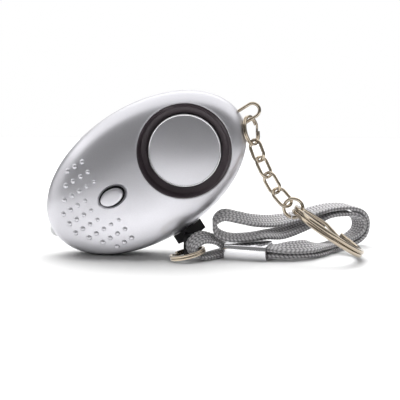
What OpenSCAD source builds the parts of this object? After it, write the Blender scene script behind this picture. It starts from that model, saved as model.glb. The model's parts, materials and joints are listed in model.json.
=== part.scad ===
// Personal safety alarm, standing on its rim and on its pull pin.
// +Z is up, the face looks along -Y, and the floor is Z = 0.
// The body is drawn in its own frame (X along its length, -Y to the face, Z across) and then leaned.

/* [Body] */
// Length of the oval body
body_length = 70; // [64:0.5:76]
// Width of the oval body
body_width = 43; // [41:0.5:48]
// Depth of each half of the body
half_depth = 11; // [10.5:0.1:13]
// Roundness of the rim: 2 is an ellipsoid, more is boxier
rim_power = 2.7; // [2.5:0.1:3.2]
// Wall of the shells
wall = 1.6; // [1.2:0.1:1.8]
// Lean of the body's long axis
lean = 32.5; // [28:0.5:36]

/* [Siren] */
// Place of the siren along the body
siren_place = 14.8; // [13.5:0.1:15.5]
// Outer diameter of the black ring
siren_ring_d = 29.2; // [27:0.1:30]
// Diameter of the silver cap
siren_cap_d = 22.7; // [20:0.1:24]
// Depth of the flat of the ring, from the parting plane
siren_flat_depth = 7; // [6.5:0.1:7.2]
// Crown of the cap above its rim
siren_cap_crown = 1; // [0.4:0.1:1.4]

/* [Light button] */
// Place of the button along the body
button_place = -11.9; // [-13:0.1:-11]
// Length of the oval button
button_length = 7.9; // [6:0.1:9]
// Width of the oval button
button_width = 4.9; // [4:0.1:6]
// Gap round the button
button_gap = 0.6; // [0.3:0.05:0.9]
// Travel of the button
button_travel = 0.5; // [0.3:0.05:0.6]

/* [Grip bumps] */
// Place of the first column along the body
bump_start = -13.8; // [-15:0.1:-13]
// Pitch along the body
bump_pitch = 2.81; // [2.4:0.01:3]
// Pitch across the body
bump_row_pitch = 3.5; // [3:0.05:3.6]
// Diameter of a bump
bump_d = 1.5; // [1:0.1:1.8]
// Height of a bump
bump_height = 0.45; // [0.3:0.05:0.6]

/* [Lamp] */
// Diameter of the lamp
lamp_d = 4.9; // [3:0.1:5.4]
// How far the lamp stands out of the rim
lamp_reach = 1.25; // [0.8:0.05:2]

/* [Chain] */
// Wire of the bail
bail_wire = 1; // [0.7:0.05:1.1]
// Gap between the bail's legs, centre to centre
bail_span = 4.3; // [4:0.1:5]
// How far the bail reaches past the rim
bail_reach = 6.6; // [6:0.1:8]
// Place of the bail across the body
bail_place = -1.2; // [-2:0.1:0]
// Outer diameter of the small split ring
bail_ring_d = 9.8; // [9:0.1:11]
// Wire of the chain links and of the jump ring
link_wire = 1.1; // [0.8:0.05:1.2]
// Outer width of a link
link_width = 5.6; // [5.2:0.1:6]
// Pitch of the chain
link_pitch = 5.6; // [5:0.1:6]
// Outer diameter of the jump ring
jump_ring_d = 7; // [6.8:0.1:7.6]
// Outer diameter of the key ring
key_ring_d = 26; // [25:0.5:28]

/* [Pull pin and wrist strap] */
// Place of the pin along the body
pin_place = 1.4; // [0:0.1:3]
// Side of the square grip of the pin
pin_grip = 7.4; // [6:0.1:8]
// Height of the grip
pin_grip_height = 3.3; // [2.5:0.1:4]
// Width of the blade inside the body
pin_blade_width = 5; // [4:0.1:6]
// Thickness of the blade
pin_blade = 1.4; // [1:0.1:1.6]
// Depth that the blade goes into the body
pin_depth = 12; // [10:0.1:12.5]
// Outer diameter of the pin's split ring
pin_ring_d = 11.4; // [11:0.1:12]
// Width of the woven strap
strap_width = 5.5; // [5:0.1:6]
// Thickness of the woven strap
strap_thickness = 1.5; // [1.2:0.05:1.6]
// Length of the metal sleeve
crimp_length = 13.7; // [12:0.1:14]
// Wall of the metal sleeve
crimp_wall = 0.45; // [0.3:0.05:0.6]

/* [Inside] */
// Thickness of the circuit board
board = 1; // [0.8:0.1:1.2]
// Diameter of a button cell
cell_d = 11.6; // [11.4:0.1:11.6]
// Height of a button cell
cell_height = 5.3; // [4.8:0.1:5.4]
// Diameter of the screw shank
screw_d = 2; // [1.8:0.1:2.2]

/* [Hidden] */
$fn = 48;

// Clearances
fit = 0.1;         // a piece in its seat
slack = 0.25;      // between links that hang in each other
lap = 0.5;         // how far a cut runs past a face
pin_clearance = 0.3; // between the pin's grip and the rim

// Body
half_length = body_length / 2;
half_width = body_width / 2;
stand_height = norm([half_length * sin(lean), half_width * cos(lean)]);
dome_sides = 72;
dome_rings = 9;
crown_sides = 240;

// Depth of the face over a point of the body's plane, with the wall inset by a depth
function face_depth(u, v, inset = 0) =
    let (rho = norm([u / (half_length - inset), v / (half_width - inset)]))
    (half_depth - inset) * pow(max(0, 1 - pow(rho, rim_power)), 1 / rim_power);

// Where a point of the leaned body lies in the standing frame
function stood(p) = [
    p[0] * cos(lean) - p[2] * sin(lean), p[1], stand_height + p[0] * sin(lean) + p[2] * cos(lean)
];

// Siren, from the parting plane towards the face
siren_hole_r = siren_ring_d / 2 + fit;
siren_ring_depth = 2.4;
siren_seat = siren_flat_depth - siren_ring_depth;
siren_lip = 0.8;
siren_collar_wall = 1.5;
siren_collar_r = siren_hole_r + siren_collar_wall;
siren_collar_end = 1.8;
siren_plate_thickness = 0.3;
siren_plate_r = siren_ring_d / 2 - fit;
siren_lip_reach = 1.2;
siren_lip_r = siren_plate_r - siren_lip_reach;
siren_plate_front = siren_seat - siren_lip;
ceramic_r = 10;
ceramic_thickness = 0.25;
ceramic_back = siren_plate_front - siren_plate_thickness - ceramic_thickness;
retainer_wall = 2;
siren_wire_r = 0.3;
siren_wire_place = ceramic_r / 2;
siren_floor = 0.8;
cap_r = siren_cap_d / 2;
cap_gap = 0.3;
cap_chamfer = 0.45;
cap_stand = 0.5;
cap_rim = siren_flat_depth + cap_stand;
cap_ball_r = (pow(cap_r - cap_chamfer, 2) + pow(siren_cap_crown, 2)) / (2 * siren_cap_crown);
cap_thickness = 1.3;
cap_peg_r = 3;
funnel = 1.1;
funnel_edge = 0.25;
funnel_fall = 0.3;
ring_flat_r = siren_ring_d / 2 - funnel;
port_r = 1.2;
port_inset = 2.6;
port_circle = cap_r - port_inset;

// Board and cells, behind the parting plane
board_front = 0.9;
board_back = board_front + board;
board_half_width = 10;
board_left = -25;
board_right = 26;
tongue_lap = 1;
strip = 0.15;
cell_front = board_back + strip;
cell_back = cell_front + cell_height;
cell_pocket_r = cell_d / 2 + fit;
cell_pitch = cell_d + 1;
cell_middle = -2;
cell_bevel = 0.4;
cell_step = 0.5;
cell_cap_inset = 0.9;
tray_wall = 0.8;
tray_floor = 0.55;
tray_r = cell_pocket_r + tray_wall;
tray_back = cell_back + strip + tray_floor;
seat_r = 3;
strap_tab = 1;

// Screws: place along and across the body
screw_places = [[5, 16.4], [-20.5, 10.5], [-20.5, -10.5]];
screw_r = screw_d / 2;
screw_head_lap = 0.9;
screw_head_r = screw_r + screw_head_lap;
screw_head = 1.3;
screw_seat = 4;
screw_reach = 4.5;
screw_slot = [screw_d, 1, 0.5];
boss_wall = 1.4;
boss_r = screw_r + boss_wall;
boss_end = 6.4;
post_wall = 1;
post_r = screw_head_r + post_wall;

// Button and its switch, from the parting plane towards the face
button_stand = 0.15;
button_top = face_depth(button_place, 0) + button_stand;
button_ball_r = 30;
button_seat_gap = 0.75;
button_flange_front = face_depth(button_place, 0, wall) - button_seat_gap;
button_flange = 0.8;
button_flange_lap = 0.8;
button_stem_r = 1.5;
switch_side = 6;
switch_height = 3.4;
switch_top = switch_height - board_front;
plunger_r = 1.7;
plunger_reach = 0.9;
plunger_depth = 0.8;
plunger_room = 0.2;
plunger_top = switch_top + plunger_reach;

// Grip bumps: first and last column of each row, counted out from the middle row
bump_first = [2, 2, 0, 0, 0];
bump_last = [5, 5, 4, 3, 2];
bump_ball_r = (pow(bump_d / 2, 2) + pow(bump_height, 2)) / (2 * bump_height);

// Lamp
lamp_r = lamp_d / 2;
lamp_tip = -half_length - lamp_reach;
lamp_barrel = 5.3;
lamp_flange = 1;
lamp_flange_lap = 0.4;
lamp_base = lamp_tip + lamp_r + lamp_barrel;
lead_r = 0.25;
lead_span = 2.54;

// Coil, chips and contacts on the board
part_gap = 0.4;
coil_r = 3.2;
coil_place = button_place - switch_side / 2 - part_gap - coil_r;
coil_height = 4.6;
coil_flange = 0.8;
coil_core_r = 1.5;
winding_r = 2.8;
lead_end = coil_place - coil_r - part_gap - lead_r;
chip_size = [5, 1.5, 4];
chip_place = [siren_place - 3, -4];
transistor_size = [4, 1.6, 3];
transistor_place = [siren_place, 6];
contact_width = 2.4;
contact_reach = 4;

// Chain, from the bail's lower leg to the jump ring
bail_r = bail_wire / 2;
bail_inside = 4;
bail_foot = 2.2;
bail_leg = stood([half_length + 1.3, 0, bail_place - bail_span / 2]);
split_radial = 0.8;
split_axial = 1.2;
split_edge = 0.3;    // share of the flat wire that its corners take
split_groove = 0.6;  // share of a corner that the groove takes
bail_ring_mid = (bail_ring_d - split_radial) / 2;
bail_slack = 0.4;
bail_ring_hang = [1.7, -0.8, -7.6];
link_directions = [[1.9, -1.2, -4.9], [2.3, -1.2, -4.8], [2.7, -1, -4.6], [3.2, -1.6, -3.5]];
link_rolls = [101, 15, 111, 28];
jump_direction = [3.2, -0.4, -2.4];
link_cross = (link_wire + slack) / 2;
ring_cross = (link_wire / 2 + norm([split_radial, split_axial]) / 2 + slack / 2) / 2;
link_r = link_wire / 2;
jump_mid = (jump_ring_d - link_wire) / 2;
jump_slack = 0.15;

function unit(v) = v / norm(v);
bail_ring_drop = bail_ring_mid - split_radial / 2 - bail_r - bail_slack;
bail_ring_centre = bail_leg + bail_ring_drop * unit(bail_ring_hang);
chain_start = bail_ring_centre + (bail_ring_mid - ring_cross) * unit(bail_ring_hang);
function pivot(i) = i == 0 ? chain_start : pivot(i - 1) + link_pitch * unit(link_directions[i - 1]);
jump_centre = pivot(4) + (jump_mid - link_cross - jump_slack) * unit(jump_direction);

// Key ring: it hangs in the jump ring and leans down until it meets the floor
key_radial = 1.8;
key_axial = 2.6;
key_tilt = -2.4;
key_floor_gap = 0.5;
key_r = key_ring_d / 2;
jump_bore_r = jump_mid - link_r - slack / 2;
key_hang = sqrt(pow(jump_bore_r, 2) - pow(key_axial / 2, 2)) - key_radial / 2;
key_arm = key_hang + key_r - key_radial / 2;
key_lean = asin((jump_centre[2] - key_floor_gap) / norm([key_arm + key_r, key_axial / 2]))
    - atan2(key_axial / 2, key_arm + key_r);
key_centre = jump_centre + key_arm * [cos(key_lean), 0, -sin(key_lean)];

// Pin, in the body's frame, and its eye, which hangs upright
pin_slot_end = half_width - pin_depth - 1;
pin_grip_end = half_width + pin_grip_height;
pin_grip_lap = 2;
pin_blade_root = 1;
pin_tab = [2.8, 5, 7.5];
pin_tab_shift = 1;
pin_tab_x = stood([pin_place, 0, -pin_grip_end])[0] - pin_tab_shift;
pin_eye_r = 1.6;
pin_ring_radial = 1;
pin_ring_axial = 1.6;
pin_ring_mid = (pin_ring_d - pin_ring_radial) / 2;
pin_ring_tilt = 14;
pin_tab_y = -4.7;
pin_ring_centre = [
    pin_tab_x, pin_tab_y - pin_ring_mid,
    pin_ring_axial / 2 * cos(pin_ring_tilt) + pin_ring_d / 2 * sin(pin_ring_tilt)
];

// Strap: place of its middle, its heading in plan and its roll towards the face
layer_gap = 0.55;
layer = strap_thickness + layer_gap;
crimp_room = 0.2;
crimp_round = 0.55;  // share of the sleeve's round ends that lies beside the strap
crimp_centre = [32.4, -5.5, 2.65];
crimp_heading = -17.8;
crimp_roll = 6;
neck_route = [
    [32, -5.3, 1.65, -17.8, 6],
    [25.4, -3.2, 1.65, -17.8, 6],
    [21, -6.4, 1.1, 32, 2],
    [17.8, -9.1, 1, 36, 2],
    [15.3, -10.7, 2.5, 36, 10],
    [15.1, -10.7, 5.1, 36, 20],
    [17.8, -8.9, 7, 34, 30],
    [21.2, -6.2, 6.2, 26, 26],
    [25.4, -3.4, 3.7, -17.8, 6],
    [32, -5.5, 3.7, -17.8, 6]
];
loop_route = [
    [32.8, -5.5, 1.65, -17.8, 6],
    [39.4, -7.6, 1.65, -17.8, 6],
    [44.8, -7.9, 2.2, 6, 25],
    [50.2, -5.8, 2.3, 30, 30],
    [54.2, -1.6, 1.2, 46, 8],
    [57.4, 3.6, 0.9, 58, 0],
    [64.4, 12.9, 1.02, 54, 0],
    [69.2, 17.2, 3.2, 54, 0],
    [70.4, 18.4, 7.4, 54, 0],
    [69, 17.2, 11, 50, 4],
    [65, 15.4, 13.1, 40, 8],
    [58.4, 12.8, 13.2, 33, 12],
    [51.6, 9.6, 11.8, 34, 18],
    [46, 6.4, 10.7, 34, 24],
    [40, 2.2, 10.5, 30, 32],
    [34.2, -2.2, 11.4, 24, 34],
    [29, -4.7, 12.8, 12, 32],
    [24.6, -5.4, 13.6, 4, 30],
    [22, -5.6, 11.5, 2, 24],
    [22.6, -5.6, 8.2, 2, 16],
    [26.4, -5.4, 6.6, 6, 14],
    [31.6, -4.4, 6.4, 14, 14],
    [37.2, -2.2, 6.8, 26, 14],
    [43, 2.8, 6.6, 34, 30],
    [51, 9.4, 8.4, 34, 26],
    [58.2, 13, 11, 33, 12],
    [64.4, 15.3, 11.1, 40, 8],
    [67.9, 16.1, 9.6, 50, 4],
    [69.1, 16.8, 7.4, 54, 0],
    [68.1, 15.9, 4.7, 54, 0],
    [64, 12.4, 2.72, 54, 0],
    [57.8, 3.3, 2.55, 58, 0],
    [54.5, -1.9, 3.25, 46, 8],
    [50.7, -6.7, 4.05, 30, 30],
    [44.8, -8.8, 4.05, 6, 25],
    [39.4, -7.8, 3.7, -17.8, 6],
    [32.8, -5.7, 3.7, -17.8, 6]
];
lower_run_end = 6;     // the route's point where the run on the floor starts to rise
upper_run_start = 30;  // and the point where it comes back on top of that run
strap_steps = 2;
strap_bevel = 0.45;

// Origin: middle of the footprint of everything but the strap
reach_left = norm([half_length * cos(lean), half_width * sin(lean)]);
reach_right = key_centre[0] + key_r * cos(key_lean) + key_axial / 2 * sin(key_lean);
reach_front = key_centre[1] - key_r;
origin = [(reach_right - reach_left) / 2, (reach_front + half_depth) / 2, 0];

// Finishes
silver = [0.8, 0.81, 0.83];
black = [0.08, 0.08, 0.09];
nickel = [0.72, 0.69, 0.62];
chrome = [0.85, 0.85, 0.87];
strap_grey = [0.55, 0.56, 0.57];
brass = [0.8, 0.65, 0.3];
copper = [0.75, 0.42, 0.22];
board_green = [0.1, 0.4, 0.2];

// Moves the finished drawing so that the origin lies under the middle of the part
module on_floor() { translate(-origin) children(); }

// Stands the body on its rim
module in_body() { on_floor() translate([0, 0, stand_height]) rotate([0, -lean, 0]) children(); }

// A cylinder from one depth to another, counted towards the face
module post(u, v, r, from, to) {
    translate([u, -from, v]) rotate([90, 0, 0]) cylinder(r = r, h = to - from);
}

// A block on the board, its middle at a place, standing up towards the face
module on_board(u, v, size) {
    translate([u - size[0] / 2, board_front - size[1], v - size[2] / 2]) cube(size);
}

// A flat bar with round ends between two places, from one depth to another towards the rear
module rounded_bar(left, right, r, front, back) {
    translate([0, back, 0]) rotate([90, 0, 0]) linear_extrude(back - front) {
        translate([left + r, -r]) square([right - left - 2 * r, 2 * r]);
        for (end = [left + r, right - r]) translate([end, 0]) circle(r);
    }
}

// One half of the oval body, its wall drawn in by a depth, with a straight skirt below the rim
module half_oval(inset = 0, skirt = 0) {
    length = half_length - inset;
    width = half_width - inset;
    depth = half_depth - inset;
    sides = dome_sides;
    levels = [for (i = [0:dome_rings - 1]) 90 * pow(i / dome_rings, 1.25)];
    rims = concat([[1, -skirt]], [
        for (a = levels) [pow(cos(a), 2 / rim_power), depth * pow(sin(a), 2 / rim_power)]
    ]);
    rings = skirt > 0 ? rims : [for (i = [1:len(rims) - 1]) rims[i]];
    points = concat(
        [for (r = rings) for (j = [0:sides - 1])
            [length * r[0] * cos(360 * j / sides), -r[1], width * r[0] * sin(360 * j / sides)]],
        [[0, -depth, 0]]
    );
    top = len(rings) - 1;
    sides_faces = [for (i = [0:top - 1]) for (j = [0:sides - 1]) for (half = [0, 1])
        let (k = (j + 1) % sides, a = i * sides + j, b = i * sides + k)
        half == 0 ? [a, a + sides, b + sides] : [a, b + sides, b]];
    crown = [for (j = [0:sides - 1]) [top * sides + j, len(points) - 1, top * sides + (j + 1) % sides]];
    foot = [[for (j = [0:sides - 1]) j]];
    polyhedron(points, concat(sides_faces, crown, foot));
}

// Holes that both halves share at the parting plane
module rim_holes() {
    translate([lamp_tip, 0, 0]) rotate([0, 90, 0]) cylinder(r = lamp_r + fit, h = lamp_r + lamp_barrel);
    for (side = [-1, 1]) translate([half_length - bail_inside, 0, bail_place + side * bail_span / 2])
        rotate([0, 90, 0]) cylinder(r = bail_r + fit, h = bail_inside + lap);
    translate([
        pin_place - pin_blade_width / 2 - fit, -pin_blade / 2 - fit, -half_width - lap
    ]) cube([pin_blade_width + 2 * fit, pin_blade + 2 * fit, half_width - pin_slot_end]);
}

module button_outline(grow) {
    scale([button_length / 2 + grow, button_width / 2 + grow]) circle(1);
}

// An oval bar like the button, from one depth to another towards the face
module button_bar(grow, from, to) {
    translate([button_place, -from, 0]) rotate([90, 0, 0]) linear_extrude(to - from) button_outline(grow);
}

module grip_bumps() {
    for (row = [-4:4]) for (column = [bump_first[abs(row)]:bump_last[abs(row)]]) {
        u = bump_start - column * bump_pitch;
        v = row * bump_row_pitch;
        translate([u, bump_ball_r - bump_height - face_depth(u, v), v]) sphere(bump_ball_r);
    }
}

module front_shell() {
    color(silver) in_body() {
        difference() {
            union() {
                difference() {
                    half_oval();
                    half_oval(wall, lap);
                }
                intersection() {
                    half_oval(wall / 2);
                    union() {
                        post(siren_place, 0, siren_collar_r, siren_collar_end, half_depth);
                        for (p = screw_places) post(p[0], p[1], boss_r, 0, boss_end);
                    }
                }
                grip_bumps();
            }
            post(siren_place, 0, siren_hole_r, siren_seat, half_depth + lap);
            post(siren_place, 0, siren_lip_r, 0, siren_seat + lap);
            post(siren_place, 0, siren_hole_r, 0, siren_plate_front);
            button_bar(button_gap, 0, half_depth + lap);
            for (p = screw_places) post(p[0], p[1], screw_r + fit / 2, -lap, screw_reach + lap);
            rim_holes();
        }
    }
}

module rear_shell() {
    color(silver) in_body() {
        difference() {
            union() {
                mirror([0, 1, 0]) difference() {
                    half_oval();
                    half_oval(wall, lap);
                }
                mirror([0, 1, 0]) intersection() {
                    half_oval(wall / 2);
                    union() {
                        for (p = screw_places) post(p[0], p[1], post_r, 0, half_depth);
                        for (side = [-1, 1])
                            post(cell_middle + side * cell_pitch, 0, seat_r, tray_back, half_depth);
                    }
                }
            }
            for (p = screw_places) {
                post(p[0], p[1], screw_r + fit, -screw_seat - lap, lap);
                post(p[0], p[1], screw_head_r + fit, -half_depth - lap, -screw_seat);
            }
            tray_bar(fit, 0, tray_back);
            rim_holes();
        }
    }
}

module speaker_ring() {
    hole = cap_r + cap_gap;
    outer = siren_ring_d / 2;
    color(black) in_body() intersection() {
        half_oval(fit);
        difference() {
            translate([siren_place, -siren_seat, 0]) rotate([90, 0, 0]) rotate_extrude() polygon([
                [0, 0], [outer, 0], [outer, half_depth - siren_seat],
                [outer - funnel_edge, half_depth - siren_seat], [ring_flat_r, siren_flat_depth - siren_seat],
                [hole, siren_flat_depth - siren_seat - funnel_fall], [hole, siren_floor],
                [cap_peg_r, siren_floor], [cap_peg_r, cap_rim - cap_thickness - siren_seat],
                [0, cap_rim - cap_thickness - siren_seat]
            ]);
            for (turn = [0:45:315]) post(
                siren_place + port_circle * cos(turn), port_circle * sin(turn), port_r,
                siren_seat - lap, siren_seat + siren_floor + lap
            );
        }
    }
}

module speaker_cap() {
    color(silver) in_body() translate([siren_place, 0, 0]) rotate([90, 0, 0]) intersection() {
        translate([0, 0, cap_rim + siren_cap_crown - cap_ball_r]) sphere(cap_ball_r, $fn = crown_sides);
        translate([0, 0, cap_rim - cap_thickness]) rotate_extrude() polygon([
            [0, 0], [cap_r, 0], [cap_r, cap_thickness - cap_chamfer], [cap_r - cap_chamfer, cap_thickness],
            [cap_r - cap_chamfer, cap_thickness + siren_cap_crown], [0, cap_thickness + siren_cap_crown]
        ]);
    }
}

module siren_plate() {
    color(brass) in_body() post(
        siren_place, 0, siren_plate_r, siren_plate_front - siren_plate_thickness, siren_plate_front
    );
}

module siren_ceramic() {
    color("white") in_body() post(
        siren_place, 0, ceramic_r, ceramic_back, siren_plate_front - siren_plate_thickness
    );
}

module siren_retainer() {
    color(black) in_body() difference() {
        post(siren_place, 0, siren_plate_r, siren_collar_end, siren_plate_front - siren_plate_thickness);
        post(siren_place, 0, siren_plate_r - retainer_wall, siren_collar_end - lap, siren_plate_front);
    }
}

module siren_wires() {
    color("red") in_body() for (side = [-1, 1])
        post(
            siren_place + side * siren_wire_place, siren_wire_place, siren_wire_r,
            -board_front, ceramic_back
        );
}

module light_button() {
    color(silver) in_body() {
        intersection() {
            translate([button_place, button_ball_r - button_top, 0]) sphere(button_ball_r, $fn = crown_sides);
            button_bar(0, button_flange_front - button_flange, half_depth + lap);
        }
        button_bar(button_flange_lap + button_gap, button_flange_front - button_flange, button_flange_front);
        post(button_place, 0, button_stem_r, plunger_top, button_flange_front - button_flange / 2);
    }
}

module switch_plunger() {
    color(black) in_body() post(button_place, 0, plunger_r, switch_top - plunger_depth, plunger_top);
}

module light_switch() {
    color([0.2, 0.2, 0.22]) in_body() difference() {
        on_board(button_place, 0, [switch_side, switch_height, switch_side]);
        post(
            button_place, 0, plunger_r + fit / 2,
            switch_top - plunger_depth - button_travel - plunger_room, switch_top + lap
        );
    }
}

module circuit_board() {
    tongue = pin_blade_width + 2 * tongue_lap;
    color(board_green) in_body() difference() {
        union() {
            rounded_bar(board_left, board_right, board_half_width, board_front, board_back);
            translate([pin_place - tongue / 2, board_front, -half_width + pin_depth / 2])
                cube([tongue, board, half_width - pin_depth / 2]);
        }
        for (p = screw_places) post(p[0], p[1], post_r + 2 * fit, -board_back - lap, -board_front + lap);
    }
}

module boost_coil_core() {
    color([0.25, 0.25, 0.27]) in_body() {
        post(coil_place, 0, coil_r, -board_front, coil_flange - board_front);
        post(coil_place, 0, coil_core_r, -board_front, coil_height - board_front);
        post(coil_place, 0, coil_r, coil_height - coil_flange - board_front, coil_height - board_front);
    }
}

module boost_coil_winding() {
    color(copper) in_body() difference() {
        post(
            coil_place, 0, winding_r, coil_flange - board_front, coil_height - coil_flange - board_front
        );
        post(coil_place, 0, coil_core_r, -board_front, coil_height);
    }
}

module drive_transistor() {
    color(black) in_body() on_board(transistor_place[0], transistor_place[1], transistor_size);
}

module control_chip() {
    color(black) in_body() on_board(chip_place[0], chip_place[1], chip_size);
}

module lamp() {
    color([0.93, 0.95, 0.97]) in_body() {
        translate([lamp_tip + lamp_r, 0, 0]) sphere(lamp_r);
        translate([lamp_tip + lamp_r, 0, 0]) rotate([0, 90, 0]) cylinder(r = lamp_r, h = lamp_barrel);
        translate([lamp_base, 0, 0]) rotate([0, 90, 0])
            cylinder(r = lamp_r + lamp_flange_lap, h = lamp_flange);
    }
}

module lamp_leads() {
    start = lamp_base + lamp_flange;
    color(chrome) in_body() for (side = [-1, 1]) translate([0, 0, side * lead_span / 2]) {
        translate([start, 0, 0]) rotate([0, 90, 0]) cylinder(r = lead_r, h = lead_end - start + lead_r);
        translate([lead_end, 0, 0]) rotate([-90, 0, 0]) cylinder(r = lead_r, h = board_front);
    }
}

module alarm_contact() {
    tip = -half_width + pin_depth;
    gap = pin_blade / 2 + fit / 2;
    color(copper) in_body() {
        translate([pin_place - contact_width / 2, -gap - strip, tip - contact_reach])
            cube([contact_width, strip, 2 * contact_reach]);
        translate([pin_place - contact_width / 2, -gap - strip, tip + contact_reach - strip])
            cube([contact_width, gap + strip + board_front, strip]);
    }
}

module alarm_contact_base() {
    tip = -half_width + pin_depth;
    color(brass) in_body() translate([
        pin_place - contact_width / 2, pin_blade / 2 + fit / 2, tip - contact_reach
    ]) cube([contact_width, board_front - pin_blade / 2 - fit / 2, contact_reach]);
}

function cell_place(i) = cell_middle + (i - 2) * cell_pitch;

// The outline of the tray, grown by a clearance, between two depths behind the parting plane
module tray_bar(grow, front, back) {
    r = tray_r + grow;
    rounded_bar(cell_place(1) - r, cell_place(3) + r, r, front, back);
}

module battery_tray() {
    color([0.15, 0.15, 0.17]) in_body() difference() {
        tray_bar(0, board_back, tray_back);
        for (i = [1:3])
            post(cell_place(i), 0, cell_pocket_r, -tray_back + tray_floor, -board_back + lap);
        rounded_bar(
            cell_place(1), cell_place(3), seat_r + fit, board_back - lap, tray_back - tray_floor
        );
    }
}

module battery(i) {
    shoulder = cell_height - cell_step;
    color(chrome) in_body() translate([cell_place(i), cell_back, 0]) rotate([90, 0, 0]) rotate_extrude()
        polygon([
            [0, 0], [cell_d / 2 - cell_bevel, 0], [cell_d / 2, cell_bevel], [cell_d / 2, shoulder],
            [cell_d / 2 - cell_cap_inset, shoulder], [cell_d / 2 - cell_cap_inset, cell_height],
            [0, cell_height]
        ]);
}

module battery_straps() {
    reach = seat_r + strap_tab;
    color(chrome) in_body() {
        for (pair = [[1, 2], [3, 3]])
            rounded_bar(
                cell_place(pair[0]) - reach, cell_place(pair[1]) + reach, seat_r, board_back, cell_front
            );
        for (pair = [[1, 1], [2, 3]])
            rounded_bar(
                cell_place(pair[0]) - reach, cell_place(pair[1]) + reach, seat_r,
                cell_back, cell_back + strip
            );
    }
}

module case_screws() {
    color(chrome) in_body() for (p = screw_places) difference() {
        union() {
            post(p[0], p[1], screw_head_r, -screw_seat - screw_head, -screw_seat);
            post(p[0], p[1], screw_r, -screw_seat, screw_reach);
        }
        for (turn = [0, 90]) translate([p[0], screw_seat + screw_head, p[1]]) rotate([0, turn, 0])
            cube(screw_slot, center = true);
    }
}

// A bent wire quarter or half ring, its middle at the origin
module wire_arc(mid_r, r, start, sweep) {
    rotate([0, 0, start]) rotate_extrude(angle = sweep) translate([mid_r, 0]) circle(r);
}

module wire_bail() {
    arc_r = bail_span / 2;
    arc_u = half_length + bail_reach - bail_r - arc_r;
    foot_u = half_length - bail_inside;
    color(nickel) in_body() translate([0, 0, bail_place]) {
        translate([arc_u, 0, 0]) rotate([90, 0, 0]) wire_arc(arc_r, bail_r, -90, 180);
        for (side = [-1, 1]) translate([foot_u, 0, side * arc_r]) {
            rotate([0, 90, 0]) cylinder(r = bail_r, h = arc_u - foot_u);
            sphere(bail_r);
            rotate([side > 0 ? 0 : 180, 0, 0]) cylinder(r = bail_r, h = bail_foot);
        }
    }
}

// Turns +X along a direction, after a roll about it
module aim(direction, roll) {
    rotate([
        0, -atan2(direction[2], norm([direction[0], direction[1]])), atan2(direction[1], direction[0])
    ]) rotate([roll, 0, 0]) children();
}

// A two-turn ring of flat wire, with a groove where the turns meet, its axis along Z
module split_ring(d, radial, axial) {
    edge = split_edge * min(radial, axial / 2);
    groove = split_groove * edge;
    outer = d / 2;
    inner = outer - radial;
    top = axial / 2;
    rotate_extrude($fn = 96) polygon([
        [inner + edge, -top], [outer - edge, -top], [outer, -top + edge], [outer, -groove],
        [outer - groove, 0], [outer, groove], [outer, top - edge], [outer - edge, top],
        [inner + edge, top], [inner, top - edge], [inner, groove], [inner + groove, 0],
        [inner, -groove], [inner, -top + edge]
    ]);
}

module bail_ring() {
    color(nickel) on_floor() translate(bail_ring_centre) aim(bail_ring_hang, 0)
        split_ring(bail_ring_d, split_radial, split_axial);
}

// An oval link between two pivots, lying in its own XY plane along X
module link(reach_before, reach_after) {
    arc_r = (link_width - link_wire) / 2;
    left = -reach_before + arc_r;
    right = link_pitch + reach_after - arc_r;
    translate([left, 0, 0]) wire_arc(arc_r, link_r, 90, 180);
    translate([right, 0, 0]) wire_arc(arc_r, link_r, -90, 180);
    for (side = [-1, 1]) translate([left, side * arc_r, 0]) rotate([0, 90, 0])
        cylinder(r = link_r, h = right - left);
}

module chain_link(i) {
    before = i == 1 ? ring_cross : link_cross;
    color(nickel) on_floor() translate(pivot(i - 1)) aim(link_directions[i - 1], link_rolls[i - 1])
        link(before, link_cross);
}

module jump_ring() {
    color(nickel) on_floor() translate(jump_centre) aim(jump_direction, 90)
        rotate_extrude() translate([jump_mid, 0]) circle(link_r);
}

module key_ring() {
    color(nickel) on_floor() translate(key_centre) rotate([0, key_lean, 0]) rotate([key_tilt, 0, 0])
        split_ring(key_ring_d, key_radial, key_axial);
}

module pull_pin() {
    color(black) {
        in_body() difference() {
            translate([pin_place, 0, -pin_grip_end]) rotate([0, 0, 45])
                translate([-pin_grip / 2, -pin_grip / 2, 0])
                    cube([pin_grip, pin_grip, pin_grip_height + pin_grip_lap]);
            half_oval(-pin_clearance);
            mirror([0, 1, 0]) half_oval(-pin_clearance);
        }
        in_body() translate([
            pin_place - pin_blade_width / 2, -pin_blade / 2, pin_blade_root - pin_grip_end
        ]) cube([pin_blade_width, pin_blade, pin_grip_height + pin_depth - pin_blade_root]);
        on_floor() difference() {
            translate([pin_tab_x - pin_tab[0] / 2, pin_tab_y - pin_tab[1] / 2, 0]) cube(pin_tab);
            translate([pin_tab_x - pin_tab[0], pin_tab_y, pin_ring_centre[2]])
                rotate([0, 90, 0]) cylinder(r = pin_eye_r, h = 2 * pin_tab[0]);
        }
    }
}

module pin_ring() {
    color(nickel) on_floor() translate(pin_ring_centre) rotate([0, -pin_ring_tilt, 0])
        split_ring(pin_ring_d, pin_ring_radial, pin_ring_axial);
}

// A smooth curve through the points of a route, with in-between steps
function blend(a, b, c, d, t) = 0.5 * (
    2 * b + (c - a) * t + (2 * a - 5 * b + 4 * c - d) * t * t + (3 * b - a - 3 * c + d) * t * t * t
);
function smooth_route(route) = let (last = len(route) - 1) concat(
    [for (i = [0:last - 1]) for (k = [0:strap_steps - 1]) blend(
        route[max(i - 1, 0)], route[i], route[i + 1], route[min(i + 2, last)], k / strap_steps
    )],
    [route[last]]
);
function place(p) = [p[0], p[1], p[2]];
function strap_across(p) = [-sin(p[3]) * cos(p[4]), cos(p[3]) * cos(p[4]), sin(p[4])];

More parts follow.
